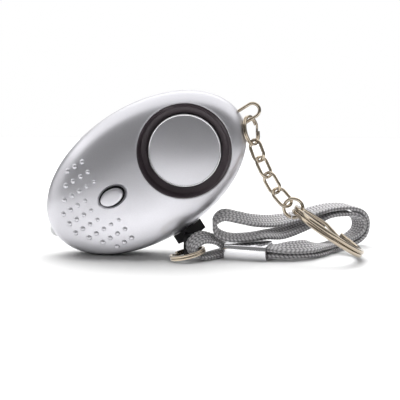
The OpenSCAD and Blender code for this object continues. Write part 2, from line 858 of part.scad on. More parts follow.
// The strap's section at a point: a flat bar with bevelled edges, square to the run
function strap_section(p, along) =
    let (
        w = strap_width / 2, t = strap_thickness / 2, b = strap_bevel,
        side = unit(strap_across(p) - (strap_across(p) * along) * along),
        up = cross(along, side)
    )
    [for (c = [
        [w, b - t], [w, t - b], [w - b, t], [b - w, t], [-w, t - b], [-w, b - t], [b - w, -t], [w - b, -t]
    ]) place(p) + c[0] * side + c[1] * up];

// The strap between two points of a route
module strap(route, from, to) {
    run = smooth_route(route);
    end = len(run) - 1;
    first = from * strap_steps;
    last = to * strap_steps - first;
    sides = 8;
    points = [for (i = [first:first + last]) each strap_section(
        run[i], unit(place(run[min(i + 1, end)]) - place(run[max(i - 1, 0)]))
    )];
    skin = [for (i = [0:last - 1]) for (j = [0:sides - 1]) for (half = [0, 1])
        let (k = (j + 1) % sides, a = i * sides + j, b = i * sides + k)
        half == 0 ? [a, a + sides, b + sides] : [a, b + sides, b]];
    ends = [
        [for (j = [0:sides - 1]) j],
        [for (j = [sides - 1:-1:0]) last * sides + j]
    ];
    polyhedron(points, concat(skin, ends));
}

module lanyard_neck() { color(strap_grey) on_floor() strap(neck_route, 0, len(neck_route) - 1); }

module lanyard_lower_run() { color(strap_grey) on_floor() strap(loop_route, 0, lower_run_end); }

module lanyard_loop() {
    color(strap_grey) on_floor() strap(loop_route, lower_run_end, upper_run_start);
}

module lanyard_upper_run() {
    color(strap_grey) on_floor() strap(loop_route, upper_run_start, len(loop_route) - 1);
}

module lanyard_crimp() {
    inner_r = (layer + strap_thickness) / 2 + crimp_room;
    flat = strap_width / 2 + crimp_room - crimp_round * inner_r;
    color(chrome) on_floor() translate(crimp_centre) rotate([0, 0, crimp_heading]) rotate([crimp_roll, 0, 0])
        translate([-crimp_length / 2, 0, 0]) rotate([90, 0, 90]) linear_extrude(crimp_length) difference() {
            union() {
                for (side = [-1, 1]) translate([side * flat, 0]) circle(inner_r + crimp_wall);
                square([2 * flat, 2 * (inner_r + crimp_wall)], center = true);
            }
            for (side = [-1, 1]) translate([side * flat, 0]) circle(inner_r);
            square([2 * flat, 2 * inner_r], center = true);
        }
}

front_shell();
rear_shell();
speaker_ring();
speaker_cap();
siren_plate();
siren_ceramic();
siren_retainer();
siren_wires();
light_button();
switch_plunger();
light_switch();
circuit_board();
boost_coil_core();
boost_coil_winding();
drive_transistor();
control_chip();
lamp();
lamp_leads();
alarm_contact();
alarm_contact_base();
battery_tray();
battery(1);  // battery_1
battery(2);  // battery_2
battery(3);  // battery_3
battery_straps();
case_screws();
wire_bail();
bail_ring();
chain_link(1);  // chain_link_1
chain_link(2);  // chain_link_2
chain_link(3);  // chain_link_3
chain_link(4);  // chain_link_4
jump_ring();
key_ring();
pull_pin();
pin_ring();
lanyard_neck();
lanyard_crimp();
lanyard_lower_run();
lanyard_loop();
lanyard_upper_run();
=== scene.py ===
"""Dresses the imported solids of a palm-sized personal alarm, from its shells to its wrist strap."""

import json
import math

import bmesh
import bpy
from bpy.props import FloatProperty, FloatVectorProperty, IntProperty, PointerProperty
from mathutils import Matrix, Vector


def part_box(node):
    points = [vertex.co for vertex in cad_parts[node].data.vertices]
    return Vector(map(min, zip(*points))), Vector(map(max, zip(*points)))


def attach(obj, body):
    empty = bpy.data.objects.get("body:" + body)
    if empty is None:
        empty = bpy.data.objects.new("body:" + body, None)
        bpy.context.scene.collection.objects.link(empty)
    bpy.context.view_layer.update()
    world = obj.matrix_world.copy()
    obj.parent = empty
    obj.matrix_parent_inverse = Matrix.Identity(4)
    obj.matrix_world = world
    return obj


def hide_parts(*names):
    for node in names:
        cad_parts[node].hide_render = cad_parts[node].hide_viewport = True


bl_info = {
    "name": "Personal Alarm",
    "version": (1, 0, 0),
    "blender": (4, 5, 0),
    "location": "View3D > Sidebar > Alarm",
    "description": "Builds the looks of a palm-sized personal alarm round its packed solids",
    "category": "Add Mesh",
}

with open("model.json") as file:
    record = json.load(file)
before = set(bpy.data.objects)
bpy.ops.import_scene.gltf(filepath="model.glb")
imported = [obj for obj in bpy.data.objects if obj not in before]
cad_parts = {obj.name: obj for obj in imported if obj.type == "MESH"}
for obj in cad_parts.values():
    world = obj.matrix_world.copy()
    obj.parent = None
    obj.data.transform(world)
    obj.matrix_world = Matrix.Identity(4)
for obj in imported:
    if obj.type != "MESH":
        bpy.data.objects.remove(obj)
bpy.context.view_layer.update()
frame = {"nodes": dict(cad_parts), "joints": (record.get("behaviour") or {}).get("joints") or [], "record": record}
PIVOTS = {joint["name"]: Vector(joint["pos_m"]) for joint in frame["joints"] if "pos_m" in joint}
MM = 0.001
FULL_TURN = 2 * math.pi
# Points closer than this are one point
TOUCHING = 1e-6
# How far a cutting shape reaches past the surface that it cuts
OVERSHOOT = MM
# Steps of a full turn on the siren and on the light button
SIREN_STEPS = 192
BUTTON_STEPS = 96
# Stands a flat outline up in the YZ plane, so that it looks along X
ALONG_X = Matrix(((0, 0, 1, 0), (1, 0, 0, 0), (0, 1, 0, 0), (0, 0, 0, 1)))

# First and last column of grip bumps in each row, from the middle row outwards
BUMP_COLUMNS = ((2, 5), (2, 5), (0, 4), (0, 3), (0, 2))
# Places of the three screws, in millimetres along and across the body
SCREW_PLACES = ((5, 16.4), (-20.5, 10.5), (-20.5, -10.5))
# Top of the light button: share of its radius, and fall in millimetres
BUTTON_CROWN = ((0, 0), (0.35, 0.005), (0.7, 0.025), (0.86, 0.06), (0.93, 0.14), (0.98, 0.32), (1, 0.6))
# Metal cup in the lamp: radius, and height from the middle of the dome, in millimetres
CUP_PROFILE = ((0, -1.5), (0.5, -1.5), (0.9, -0.9), (1.05, -0.9), (1.05, -2.6), (0, -2.6))

# Middle of the strap, in millimetres from the middle of the body: x, y, height, heading and roll in degrees
NECK_ROUTE = [
    (32, -5.3, 1.65, -17.8, 6),
    (25.4, -3.2, 1.65, -17.8, 6),
    (21, -6.4, 1.1, 32, 2),
    (17.8, -9.1, 1, 36, 2),
    (15.3, -10.7, 2.5, 36, 10),
    (15.1, -10.7, 5.1, 36, 20),
    (17.8, -8.9, 7, 34, 30),
    (21.2, -6.2, 6.2, 26, 26),
    (25.4, -3.4, 3.7, -17.8, 6),
    (32, -5.5, 3.7, -17.8, 6),
]
LOOP_ROUTE = [
    (32.8, -5.5, 1.65, -17.8, 6),
    (39.4, -7.6, 1.65, -17.8, 6),
    (44.8, -7.9, 2.2, 6, 25),
    (50.2, -5.8, 2.3, 30, 30),
    (54.2, -1.6, 1.2, 46, 8),
    (57.4, 3.6, 0.9, 58, 0),
    (64.4, 12.9, 1.02, 54, 0),
    (69.2, 17.2, 3.2, 54, 0),
    (70.4, 18.4, 7.4, 54, 0),
    (69, 17.2, 11, 50, 4),
    (65, 15.4, 13.1, 40, 8),
    (58.4, 12.8, 13.2, 33, 12),
    (51.6, 9.6, 11.8, 34, 18),
    (46, 6.4, 10.7, 34, 24),
    (40, 2.2, 10.5, 30, 32),
    (34.2, -2.2, 11.4, 24, 34),
    (29, -4.7, 12.8, 12, 32),
    (24.6, -5.4, 13.6, 4, 30),
    (22, -5.6, 11.5, 2, 24),
    (22.6, -5.6, 8.2, 2, 16),
    (26.4, -5.4, 6.6, 6, 14),
    (31.6, -4.4, 6.4, 14, 14),
    (37.2, -2.2, 6.8, 26, 14),
    (43, 2.8, 6.6, 34, 30),
    (51, 9.4, 8.4, 34, 26),
    (58.2, 13, 11, 33, 12),
    (64.4, 15.3, 11.1, 40, 8),
    (67.9, 16.1, 9.6, 50, 4),
    (69.1, 16.8, 7.4, 54, 0),
    (68.1, 15.9, 4.7, 54, 0),
    (64, 12.4, 2.72, 54, 0),
    (57.8, 3.3, 2.55, 58, 0),
    (54.5, -1.9, 3.25, 46, 8),
    (50.7, -6.7, 4.05, 30, 30),
    (44.8, -8.8, 4.05, 6, 25),
    (39.4, -7.8, 3.7, -17.8, 6),
    (32.8, -5.7, 3.7, -17.8, 6),
]

# Finishes of the pieces inside the case: colour, metallic, range of roughness and scale of the grain
INNER_FINISHES = {
    "cell_can": ((0.62, 0.62, 0.64), 1, (0.25, 0.35), 2000),
    "sheet_brass": ((0.62, 0.42, 0.14), 1, (0.25, 0.35), 2000),
    "fired_ceramic": ((0.82, 0.79, 0.7), 0, (0.3, 0.4), 2000),
    "enamelled_copper": ((0.6, 0.25, 0.1), 0.9, (0.25, 0.35), 3000),
    "sintered_ferrite": ((0.05, 0.05, 0.055), 0, (0.5, 0.6), 2500),
    "solder_mask": ((0.02, 0.13, 0.05), 0, (0.3, 0.4), 1200),
    "red_insulation": ((0.5, 0.02, 0.02), 0, (0.4, 0.5), 1500),
}
SLOT_FINISHES = {
    "silver_shell": "satin_silver",
    "black_plastic": "black_moulding",
    "nickel": "warm_nickel",
    "polished_steel": "polished_steel",
    "cell_steel": "cell_can",
    "strap_fabric": "grey_webbing",
    "clear_lamp": "clear_resin",
    "brass_sheet": "sheet_brass",
    "ceramic": "fired_ceramic",
    "copper": "enamelled_copper",
    "ferrite": "sintered_ferrite",
    "board_green": "solder_mask",
    "wire_red": "red_insulation",
}

# Studio lights, in metres: name, width, depth, place, aim, spread in degrees and the rays that miss it
LIGHTS = (
    ("softbox", 2.4, 1.5, (0, 0.45, 0.65), (0, 0.45, 0), 180, "diffuse"),
    ("left_light", 0.9, 0.6, (-0.9, 0.1, 0.32), (0, 0.1, 0.1), 180, "diffuse"),
    ("right_light", 0.9, 0.6, (0.9, 0.1, 0.32), (0, 0.1, 0.1), 180, "diffuse"),
    ("overhead_light", 1.6, 0.8, (-0.1, 0.35, 0.64), (-0.1, 0.35, 0), 180, "glossy"),
    ("apron_light", 1.2, 0.13, (0, -0.115, 0.6), (0, -0.115, 0), 8, "glossy"),
    ("fill_light", 0.6, 0.6, (-0.5, -0.7, 0.62), (0.02, 0, 0.01), 180, "glossy"),
)


def size(name, description, millimetres):
    """A length that a user can change, given in millimetres."""
    return FloatProperty(
        name=name, description=description, default=millimetres * MM, unit="LENGTH", precision=5
    )


def turn(name, description, degrees):
    """An angle that a user can change, given in degrees."""
    return FloatProperty(
        name=name, description=description, default=math.radians(degrees), subtype="ANGLE"
    )


def watts(name, description, power):
    """A light's power that a user can change."""
    return FloatProperty(name=name, description=description, default=power, unit="POWER")


def amount(name, description, value, least=0):
    """A plain number that a user can change."""
    return FloatProperty(name=name, description=description, default=value, min=least)


def colour(name, description, value):
    """A colour that a user can change."""
    return FloatVectorProperty(
        name=name, description=description, default=value, subtype="COLOR", min=0, max=1
    )


class AlarmBody(bpy.types.PropertyGroup):
    """Sizes of the oval body and its two shells."""

    length: size("Length", "Length of the oval body", 70)
    width: size("Width", "Width of the oval body", 43)
    half_depth: size("Half depth", "Depth of each half of the body", 11)
    rim_power: amount("Rim power", "2 gives an ellipsoid, more gives a boxier rim", 2.7, least=2)
    wall: size("Wall", "Wall of the shells", 1.6)
    seam: size("Seam", "Depth of the groove where the shells meet", 0.12)
    lean: turn("Lean", "Lean of the long axis", 32.5)
    # Below this depth the shell is bare dark moulding, which paints shade into the holes
    paint_depth: size("Paint depth", "How far the lacquer reaches into a hole", 1.15)
    rim_gap: size("Rim gap", "Gap round what passes through the rim", 0.1)
    well: size("Well", "Diameter of a screw well", 4)
    well_floor: size("Well floor", "Depth of a screw well's floor behind the parting plane", 4)


class AlarmSiren(bpy.types.PropertyGroup):
    """Sizes of the siren's black ring and silver cap."""

    place: size("Place", "Place of the siren along the body", 14.8)
    ring: size("Ring", "Outer diameter of the black ring", 29.2)
    ring_edge: size("Ring edge", "Width of the ring's front edge", 0.25)
    ring_inset: size("Ring inset", "How far the ring stays below the face", 0.12)
    ring_soft: size("Ring soft", "Rounding of the ring's inner edges", 0.15)
    hole_gap: size("Hole gap", "Gap between the ring and its hole", 0.1)
    seat: size("Seat", "Depth of the ring's back", 4.6)
    floor: size("Floor", "Thickness of the ring's floor behind the cap", 0.8)
    flat_depth: size("Flat depth", "Depth of the ring's flat", 7)
    flat_fall: size("Flat fall", "How far the flat falls towards the cap", 0.3)
    funnel: size("Funnel", "Width of the ring's sloping wall", 1.1)
    cap: size("Cap", "Diameter of the silver cap", 22.7)
    cap_gap: size("Cap gap", "Gap round the cap", 0.3)
    cap_stand: size("Cap stand", "How far the cap's rim stands above the flat", 0.5)
    cap_thickness: size("Cap thickness", "Thickness of the cap at its rim", 1.3)
    crown: size("Crown", "Crown of the cap above its rim", 0.85)
    lip: size("Lip", "Width of the raised lip round the cap", 0.5)
    bead: size("Bead", "Radius of the rounded edge of the hole", 0.2)
    bead_out: amount("Bead out", "How far the rounded edge lies out of the hole, in its radii", 0.6)
    bead_sunk: amount("Bead sunk", "How far the rounded edge is sunk, in its radii", 0.55)


class AlarmButton(bpy.types.PropertyGroup):
    """Sizes of the light button."""

    place: size("Place", "Place of the button along the body", -11.9)
    length: size("Length", "Length of the oval button", 7.9)
    width: size("Width", "Width of the oval button", 4.9)
    gap: size("Gap", "Gap round the button", 0.42)
    bezel: size("Bezel", "Width of the sloping edge of the hole", 0.9)
    bezel_depth: size("Bezel depth", "Depth of the sloping edge", 0.9)
    stand: size("Stand", "How far the button stands above the face", -0.1)
    hole_shift: size("Hole shift", "How far the hole lies towards the siren", 0.2)
    hole_rise: size("Hole rise", "How far the hole lies above the button's middle", 0.12)
    paint_depth: size("Paint depth", "How far the lacquer reaches below the button's top", 1)
    flange: size("Flange", "Thickness of the flange", 0.8)
    flange_depth: size("Flange depth", "Depth of the flange's front below the button's top", 2.4)
    flange_lap: size("Flange lap", "How far the flange reaches behind the shell", 0.8)


class AlarmBumps(bpy.types.PropertyGroup):
    """Sizes of the grip bumps."""

    start: size("Start", "Place of the first column along the body", -13.8)
    pitch: size("Pitch", "Pitch along the body", 2.81)
    row_pitch: size("Row pitch", "Pitch across the body", 3.5)
    smallest: size("Smallest", "Diameter of a bump beside the button", 1.15)
    largest: size("Largest", "Diameter of a bump at the edge of the field", 1.8)
    near: size("Near", "Distance from the button of the smallest bumps", 6)
    far: size("Far", "Distance from the button of the largest bumps", 15)
    height: size("Height", "Height of the largest bump", 0.6)


class AlarmLamp(bpy.types.PropertyGroup):
    """Sizes of the lamp."""

    diameter: size("Diameter", "Diameter of the lamp", 4.9)
    reach: size("Reach", "How far the lamp stands out of the rim", 1.25)
    hole_depth: size("Hole depth", "Depth of the lamp's hole from its tip", 8)
    barrel: size("Barrel", "Length of the lamp behind its dome", 5.3)
    flange: size("Flange", "Thickness of the lamp's flange", 1)
    flange_lap: size("Flange lap", "How far the flange stands out round the barrel", 0.4)


class AlarmChain(bpy.types.PropertyGroup):
    """Sizes of the bail's holes, the links and the jump ring."""

    bail_span: size("Bail span", "Distance between the bail's legs", 4.3)
    bail_wire: size("Bail wire", "Wire of the bail", 1)
    bail_place: size("Bail place", "Place of the bail across the body", -1.2)
    bail_depth: size("Bail depth", "Depth of the holes for the bail's legs", 4)
    link_wire: size("Link wire", "Wire of the links and the jump ring", 1.06)
    link_width: size("Link width", "Outer width of a link", 5.6)
    link_slack: size("Link slack", "Gap between links that hang in each other", 0.25)
    link_rolls: FloatVectorProperty(
        name="Link rolls", description="Roll of each link about the chain", size=4, unit="ROTATION",
        default=[math.radians(degrees) for degrees in (101, 15, 111, 28)],
    )
    jump_ring: size("Jump ring", "Outer diameter of the jump ring", 7)
    jump_cut: turn("Jump cut", "Width of the cut in the jump ring", 5)
    jump_start: turn("Jump start", "Where the jump ring's wire starts", -60)


class AlarmRings(bpy.types.PropertyGroup):
    """Sizes of the three split rings."""

    bail_ring: size("Bail ring", "Outer diameter of the small split ring", 9.8)
    bail_ring_radial: size("Bail ring radial", "Radial width of the small ring's wire", 0.8)
    bail_ring_axial: size("Bail ring axial", "Height of both turns of the small ring", 1.2)
    bail_ring_start: turn("Bail ring start", "Where the small ring's wire starts", 95)
    key_ring: size("Key ring", "Outer diameter of the key ring", 26)
    key_ring_radial: size("Key ring radial", "Radial width of the key ring's wire", 1.8)
    key_ring_axial: size("Key ring axial", "Height of both turns of the key ring", 2.6)
    key_ring_start: turn("Key ring start", "Where the key ring's wire starts", 75)
    key_ring_tilt: turn("Key ring tilt", "Tilt of the key ring about its lean", -2.4)
    pin_ring: size("Pin ring", "Outer diameter of the pin's ring", 11.4)
    pin_ring_radial: size("Pin ring radial", "Radial width of the pin ring's wire", 1)
    pin_ring_axial: size("Pin ring axial", "Height of both turns of the pin ring", 1.6)
    pin_ring_start: turn("Pin ring start", "Where the pin ring's wire starts", 150)
    pin_ring_tilt: turn("Pin ring tilt", "Tilt of the pin's ring", 14)
    turn_gap: size("Turn gap", "How much lower each turn is than half of its ring", 0.04)
    corner: amount("Corner", "Rounding of the flat wire, as a share of its thinner side", 0.38)
    climb: turn("Climb", "Half of the angle over which the wire climbs to its second turn", 14)


class AlarmPin(bpy.types.PropertyGroup):
    """Sizes of the pull pin."""

    place: size("Place", "Place of the pin along the body", 1.4)
    grip: size("Grip", "Side of the square grip", 7.4)
    grip_height: size("Grip height", "Height of the grip", 3.3)
    clearance: size("Clearance", "Gap between the grip and the rim", 0.3)
    edge: size("Edge", "Rounding of the grip's edges", 0.3)
    blade_width: size("Blade width", "Width of the blade inside the body", 5)
    blade: size("Blade", "Thickness of the blade", 1.4)
    blade_depth: size("Blade depth", "How far the blade goes into the body", 12)
    blade_root: size("Blade root", "Height of the blade's foot above the grip's foot", 1)
    blade_edge: size("Blade edge", "Rounding of the blade's edges", 0.15)
    tab_thickness: size("Tab thickness", "Thickness of the tab", 2.8)
    tab_width: size("Tab width", "Width of the tab", 5)
    tab_height: size("Tab height", "Height of the tab", 7.5)
    tab_corner: size("Tab corner", "Rounding of the tab's corners", 0.5)
    eye: size("Eye", "Radius of the eye in the tab", 1.6)


class AlarmStrap(bpy.types.PropertyGroup):
    """Sizes of the wrist strap and its metal sleeve."""

    width: size("Width", "Width of the webbing", 5.5)
    thickness: size("Thickness", "Thickness of the webbing", 1.5)
    corner: size("Corner", "Rounding of the webbing's edges", 0.5)
    stitch: size("Stitch", "Length of one stitch", 1.15)
    relief: size("Relief", "Height of the stitches", 0.13)
    slant: amount("Slant", "Slant of a stitch across its row, in stitches", 0.6)
    rows: IntProperty(name="Rows", description="Rows of stitches round the webbing", default=12, min=4)
    pitch: size("Pitch", "Distance between the rings of the webbing's mesh", 0.215)
    crimp_length: size("Sleeve length", "Length of the metal sleeve", 13.7)
    crimp_wall: size("Sleeve wall", "Wall of the metal sleeve", 0.45)
    crimp_width: size("Sleeve width", "Width of the metal sleeve", 8.5)
    crimp_height: size("Sleeve height", "Height of the metal sleeve", 4.75)
    crimp_corner: size("Sleeve corner", "Height of the rounded corners of the metal sleeve", 2.3)
    crimp_bulge: size("Sleeve bulge", "Depth of the rounded corners of the metal sleeve", 0.9)
    crimp_edge: size("Sleeve edge", "Rounding of the sleeve's mouths", 0.12)
    crimp_heading: turn("Sleeve heading", "Heading of the sleeve in plan", -17.8)
    crimp_roll: turn("Sleeve roll", "Roll of the sleeve towards the face", 6)


class AlarmFinish(bpy.types.PropertyGroup):
    """Colours of the finishes."""

    silver: colour("Silver", "Satin silver lacquer", (0.62, 0.615, 0.65))
    black: colour("Black", "Black moulding", (0.007, 0.006, 0.007))
    siren: colour("Siren", "Dark moulding of the siren ring", (0.055, 0.041, 0.048))
    nickel: colour("Nickel", "Warm nickel plate", (0.5, 0.43, 0.34))
    edge: colour("Edge", "Polished edge of the siren cap", (0.9, 0.9, 0.92))
    steel: colour("Steel", "Polished steel", (0.56, 0.54, 0.54))
    strap: colour("Strap", "Grey webbing", (0.67, 0.655, 0.67))
    lamp: colour("Lamp", "Clear lamp", (0.96, 0.97, 0.98))


class AlarmStudio(bpy.types.PropertyGroup):
    """The camera, the floor and the lights."""

    distance: size("Distance", "Distance of the camera", 380)
    elevation: turn("Elevation", "Height of the camera above the horizon", 9)
    azimuth: turn("Azimuth", "Turn of the camera to the right", 2)
    aim_right: size("Aim right", "Aim of the camera, to the right of the middle of the body", 17.007)
    aim_down: size("Aim down", "Aim of the camera, below the middle of the body", 8.643)
    field: turn("Field", "Field of view", 18.96)
    floor_left: size("Floor left", "How far the floor reaches to the left of the origin", 600)
    floor_right: size("Floor right", "How far the floor reaches to the right of the origin", 170)
    floor_front: size("Floor front", "How far the floor reaches in front of the origin", 146)
    floor_back: size("Floor back", "How far the floor reaches behind the origin", 350)
    floor_tone: amount("Floor tone", "Tone of the pale floor", 0.9)
    # Painted shade of the floor behind the alarm, seen only in reflections
    floor_shade_in_reflections: amount("Floor behind", "Tone of the floor behind the alarm in reflections", 0.5)
    behind_start: size("Behind start", "Where the floor starts to dim behind the origin", 20)
    behind_end: size("Behind end", "Where the floor is dim behind the origin", 70)
    # Painted light: the floor glows, but only in reflections
    floor_reflection_glow: amount("Floor gloss", "Glow of the floor in reflections", 0.8)
    glow_right: size("Glow right", "Middle of the glow, to the right of the origin", -18)
    glow_back: size("Glow back", "Middle of the glow, behind the origin", -12)
    glow_start: size("Glow start", "Distance from its middle at which the glow starts to fade", 12)
    glow_end: size("Glow end", "Distance from its middle at which the glow is gone", 42)
    foot_start: size("Foot start", "Where the glow starts to fade towards the alarm's foot", -6)
    foot_end: size("Foot end", "Where the glow is gone under the alarm's foot", 1)
    softbox: watts("Softbox", "Power of the overhead light in reflections", 12.6)
    left_light: watts("Left light", "Power of the left light in reflections", 1.2)
    right_light: watts("Right light", "Power of the right light in reflections", 0.15)
    overhead_light: watts("Overhead light", "Power of the overhead light on matt surfaces", 15.5)
    apron_light: watts("Apron light", "Power of the light on the floor in front", 0.17)
    fill_light: watts("Fill light", "Power of the light from the front on matt surfaces", 2.2)
    room: amount("Room", "Strength of the dim room on matt surfaces", 0.03)
    room_gloss: amount("Room gloss", "Strength of the room in reflections", 0.22)
    backdrop: amount("Backdrop", "Strength of the backdrop in reflections", 0.85)
    backdrop_width: size("Backdrop width", "Width of the backdrop", 1400)
    backdrop_height: size("Backdrop height", "Height of the backdrop", 1200)
    backdrop_away: size("Backdrop away", "Distance of the backdrop behind the origin", 1200)


def face_depth(body, u, v, inset=0):
    """Depth of the face over a point of the body's plane, with its wall drawn in by inset."""
    rho = math.hypot(u / (body.length / 2 - inset), v / (body.width / 2 - inset))
    rise = max(0, 1 - rho ** body.rim_power)
    return (body.half_depth - inset) * rise ** (1 / body.rim_power)


def body_frame(body):
    """The leaned frame of the body: X along its length, -Y to the face and Z across."""
    low, high = (Vector(corner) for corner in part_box("front_shell"))
    middle = Vector(((low.x + high.x) / 2, high.y, (low.z + high.z) / 2))
    return Matrix.Translation(middle) @ Matrix.Rotation(-body.lean, 4, "Y")


def on_face(body, place):
    """A frame on the body's plane whose Z looks out of the face."""
    return body_frame(body) @ Matrix.Translation((place, 0, 0)) @ Matrix.Rotation(math.pi / 2, 4, "X")


def box_middle(node):
    """Middle of a solid's box."""
    low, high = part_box(node)
    return (Vector(low) + Vector(high)) / 2


def aim(direction, roll):
    """Turns +X along a direction, after a roll about it."""
    lift = math.atan2(direction.z, math.hypot(direction.x, direction.y))
    return (
        Matrix.Rotation(math.atan2(direction.y, direction.x), 4, "Z")
        @ Matrix.Rotation(-lift, 4, "Y")
        @ Matrix.Rotation(roll, 4, "X")
    )


def finish_piece(name, bm, body, materials, replaced=(), sharp=35):
    """Makes a piece from a bmesh: it rides on a body, takes its slot and stands for its solids."""
    mesh = bpy.data.meshes.new(name)
    bm.to_mesh(mesh)
    bm.free()
    for material in materials:
        mesh.materials.append(bpy.data.materials[material])
    mesh.shade_smooth()
    mesh.set_sharp_from_angle(angle=math.radians(sharp))
    piece = bpy.data.objects.new(name, mesh)
    bpy.context.collection.objects.link(piece)
    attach(piece, body)
    if replaced:
        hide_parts(*replaced)
    return piece


def close_up(bm):
    """Merges the doubles of a shape and turns its faces outwards."""
    bmesh.ops.remove_doubles(bm, verts=bm.verts, dist=TOUCHING)
    bmesh.ops.recalc_face_normals(bm, faces=bm.faces)


def transform(bm, matrix):
    """Moves a whole shape."""
    bmesh.ops.transform(bm, matrix=matrix, verts=bm.verts)


def only_verts(geometry):
    """The points among the geometry that an operator returns."""
    return [item for item in geometry if isinstance(item, bmesh.types.BMVert)]


def only_edges(geometry):
    """The edges among the geometry that an operator returns."""
    return [item for item in geometry if isinstance(item, bmesh.types.BMEdge)]


def open_edges(bm):
    """The edges on the open rims of a shape."""
    return [edge for edge in bm.edges if edge.is_boundary]


def soften(bm, edges, radius, segments):
    """Rounds edges off."""
    bmesh.ops.bevel(
        bm, geom=edges, offset=radius, segments=segments, affect="EDGES", profile=0.5, material=-1
    )


def lathe(profile, steps):
    """A new shape: a profile of (radius, height) points turned about Z."""
    bm = bmesh.new()
    verts = [bm.verts.new((radius, 0, height)) for radius, height in profile]
    edges = [bm.edges.new(pair) for pair in zip(verts, verts[1:])]
    spin_round(bm, verts + edges, steps)
    return bm


def spin_round(bm, geometry, steps):
    """Turns a profile or a section all the way round Z and closes it."""
    bmesh.ops.spin(
        bm, geom=geometry, cent=(0, 0, 0), axis=(0, 0, 1), angle=FULL_TURN, steps=steps, use_merge=True
    )
    close_up(bm)


def spin_on(bm, geometry, angle, steps, rise=0.0, centre=(0, 0, 0)):
    """Turns a loop on about Z, climbing by rise; returns the loop at its end."""
    return bmesh.ops.spin(
        bm, geom=geometry, cent=centre, axis=(0, 0, 1), dvec=(0, 0, rise / steps), angle=angle, steps=steps
    )["geom_last"]


def section_loop(bm, outline, place):
    """A closed loop of edges from an outline; returns its verts and edges."""
    verts = [bm.verts.new(place @ point) for point in outline]
    edges = [bm.edges.new(pair) for pair in zip(verts, verts[1:] + verts[:1])]
    return verts + edges


def cap_ends(bm):
    """Closes the open ends of a wire."""
    bmesh.ops.edgeloop_fill(bm, edges=open_edges(bm))
    close_up(bm)


def add_rod(bm, start, end, radius, end_radius=None, steps=48):
    """Adds a closed rod or cone between two points."""
    start, end = Vector(start), Vector(end)
    run = end - start
    place = Matrix.Translation((start + end) / 2) @ run.to_track_quat("Z", "Y").to_matrix().to_4x4()
    bmesh.ops.create_cone(
        bm, cap_ends=True, segments=steps, radius1=radius,
        radius2=radius if end_radius is None else end_radius, depth=run.length, matrix=place,
    )


def wire_outline(radius, sides=16):
    """Points of a round wire's section."""
    swings = [FULL_TURN * side / sides for side in range(sides)]
    return [Vector((radius * math.cos(swing), radius * math.sin(swing), 0)) for swing in swings]


def rounded_outline(width, height, corner, steps):
    """Points of a rectangle with round corners, counter-clockwise, with steps to each corner."""
    points = []
    for index in range(4):
        side_x = 1 if index in (0, 3) else -1
        side_y = 1 if index < 2 else -1
        for step in range(steps + 1):
            angle = math.pi / 2 * (index + step / steps)
            points.append(Vector((
                side_x * (width / 2 - corner) + corner * math.cos(angle),
                side_y * (height / 2 - corner) + corner * math.sin(angle),
                0,
            )))
    return points


def even_outline(points, count):
    """The same closed outline with evenly spaced points."""
    ends = points[1:] + points[:1]
    lengths = [(b - a).length for a, b in zip(points, ends)]
    pitch = sum(lengths) / count
    rounding = 1e-12
    even = []
    travelled = 0
    for a, b, length in zip(points, ends, lengths):
        while len(even) < count and len(even) * pitch <= travelled + length + rounding:
            even.append(a.lerp(b, (len(even) * pitch - travelled) / max(length, rounding)))
        travelled += length
    return even


def scratch_object(name, bm):
    """A passing object that holds a copy of a shape."""
    mesh = bpy.data.meshes.new(name)
    bm.to_mesh(mesh)
    piece = bpy.data.objects.new(name, mesh)
    bpy.context.collection.objects.link(piece)
    return piece


def combine(bm, other, operation):
    """Cuts a closed shape out of another, or joins it on."""
    target = scratch_object("combined", bm)
    tool = scratch_object("tool", other)
    change = target.modifiers.new("combine", "BOOLEAN")
    change.object = tool
    change.operation = operation
    change.solver = "EXACT"
    result = target.evaluated_get(bpy.context.evaluated_depsgraph_get()).to_mesh()
    bm.clear()
    bm.from_mesh(result)
    for piece in (target, tool):
        mesh = piece.data
        bpy.data.objects.remove(piece)
        bpy.data.meshes.remove(mesh)
    other.free()


def node_setup(name):
    """A new material with its shader and its Object coordinates."""
    material = bpy.data.materials.new(name)
    material.use_nodes = True
    tree = material.node_tree
    shader = tree.nodes["Principled BSDF"]
    coordinates = tree.nodes.new("ShaderNodeTexCoord").outputs["Object"]
    return tree, shader, coordinates


def shader_group(name, inputs, outputs):
    """An empty node group with named sockets; returns the tree, its inputs and its outputs."""
    tree = bpy.data.node_groups.new(name, "ShaderNodeTree")
    for label, kind, default in inputs:
        socket = tree.interface.new_socket(label, in_out="INPUT", socket_type=kind)
        if default is not None:
            socket.default_value = default
    for label, kind in outputs:
        tree.interface.new_socket(label, in_out="OUTPUT", socket_type=kind)
    enter = tree.nodes.new("NodeGroupInput").outputs
    leave = tree.nodes.new("NodeGroupOutput").inputs
    return tree, enter, leave


def feed(tree, socket, value):
    """Gives a socket a number, or a link from another socket."""
    if isinstance(value, (int, float)):
        socket.default_value = value
    else:
        tree.links.new(value, socket)


def noise(tree, vector, scale, detail=2.0, roughness=0.5):
    """The value of a noise texture; scale is a number or a socket."""
    node = tree.nodes.new("ShaderNodeTexNoise")
    node.inputs["Detail"].default_value = detail
    node.inputs["Roughness"].default_value = roughness
    tree.links.new(vector, node.inputs["Vector"])
    feed(tree, node.inputs["Scale"], scale)
    return node.outputs["Fac"]


def remap(tree, value, low, high, from_low=0.0, from_high=1.0):
    """A value spread over a new range; the range is numbers or sockets."""
    node = tree.nodes.new("ShaderNodeMapRange")
    node.inputs["From Min"].default_value = from_low
    node.inputs["From Max"].default_value = from_high
    tree.links.new(value, node.inputs["Value"])
    feed(tree, node.inputs["To Min"], low)
    feed(tree, node.inputs["To Max"], high)
    return node.outputs["Result"]


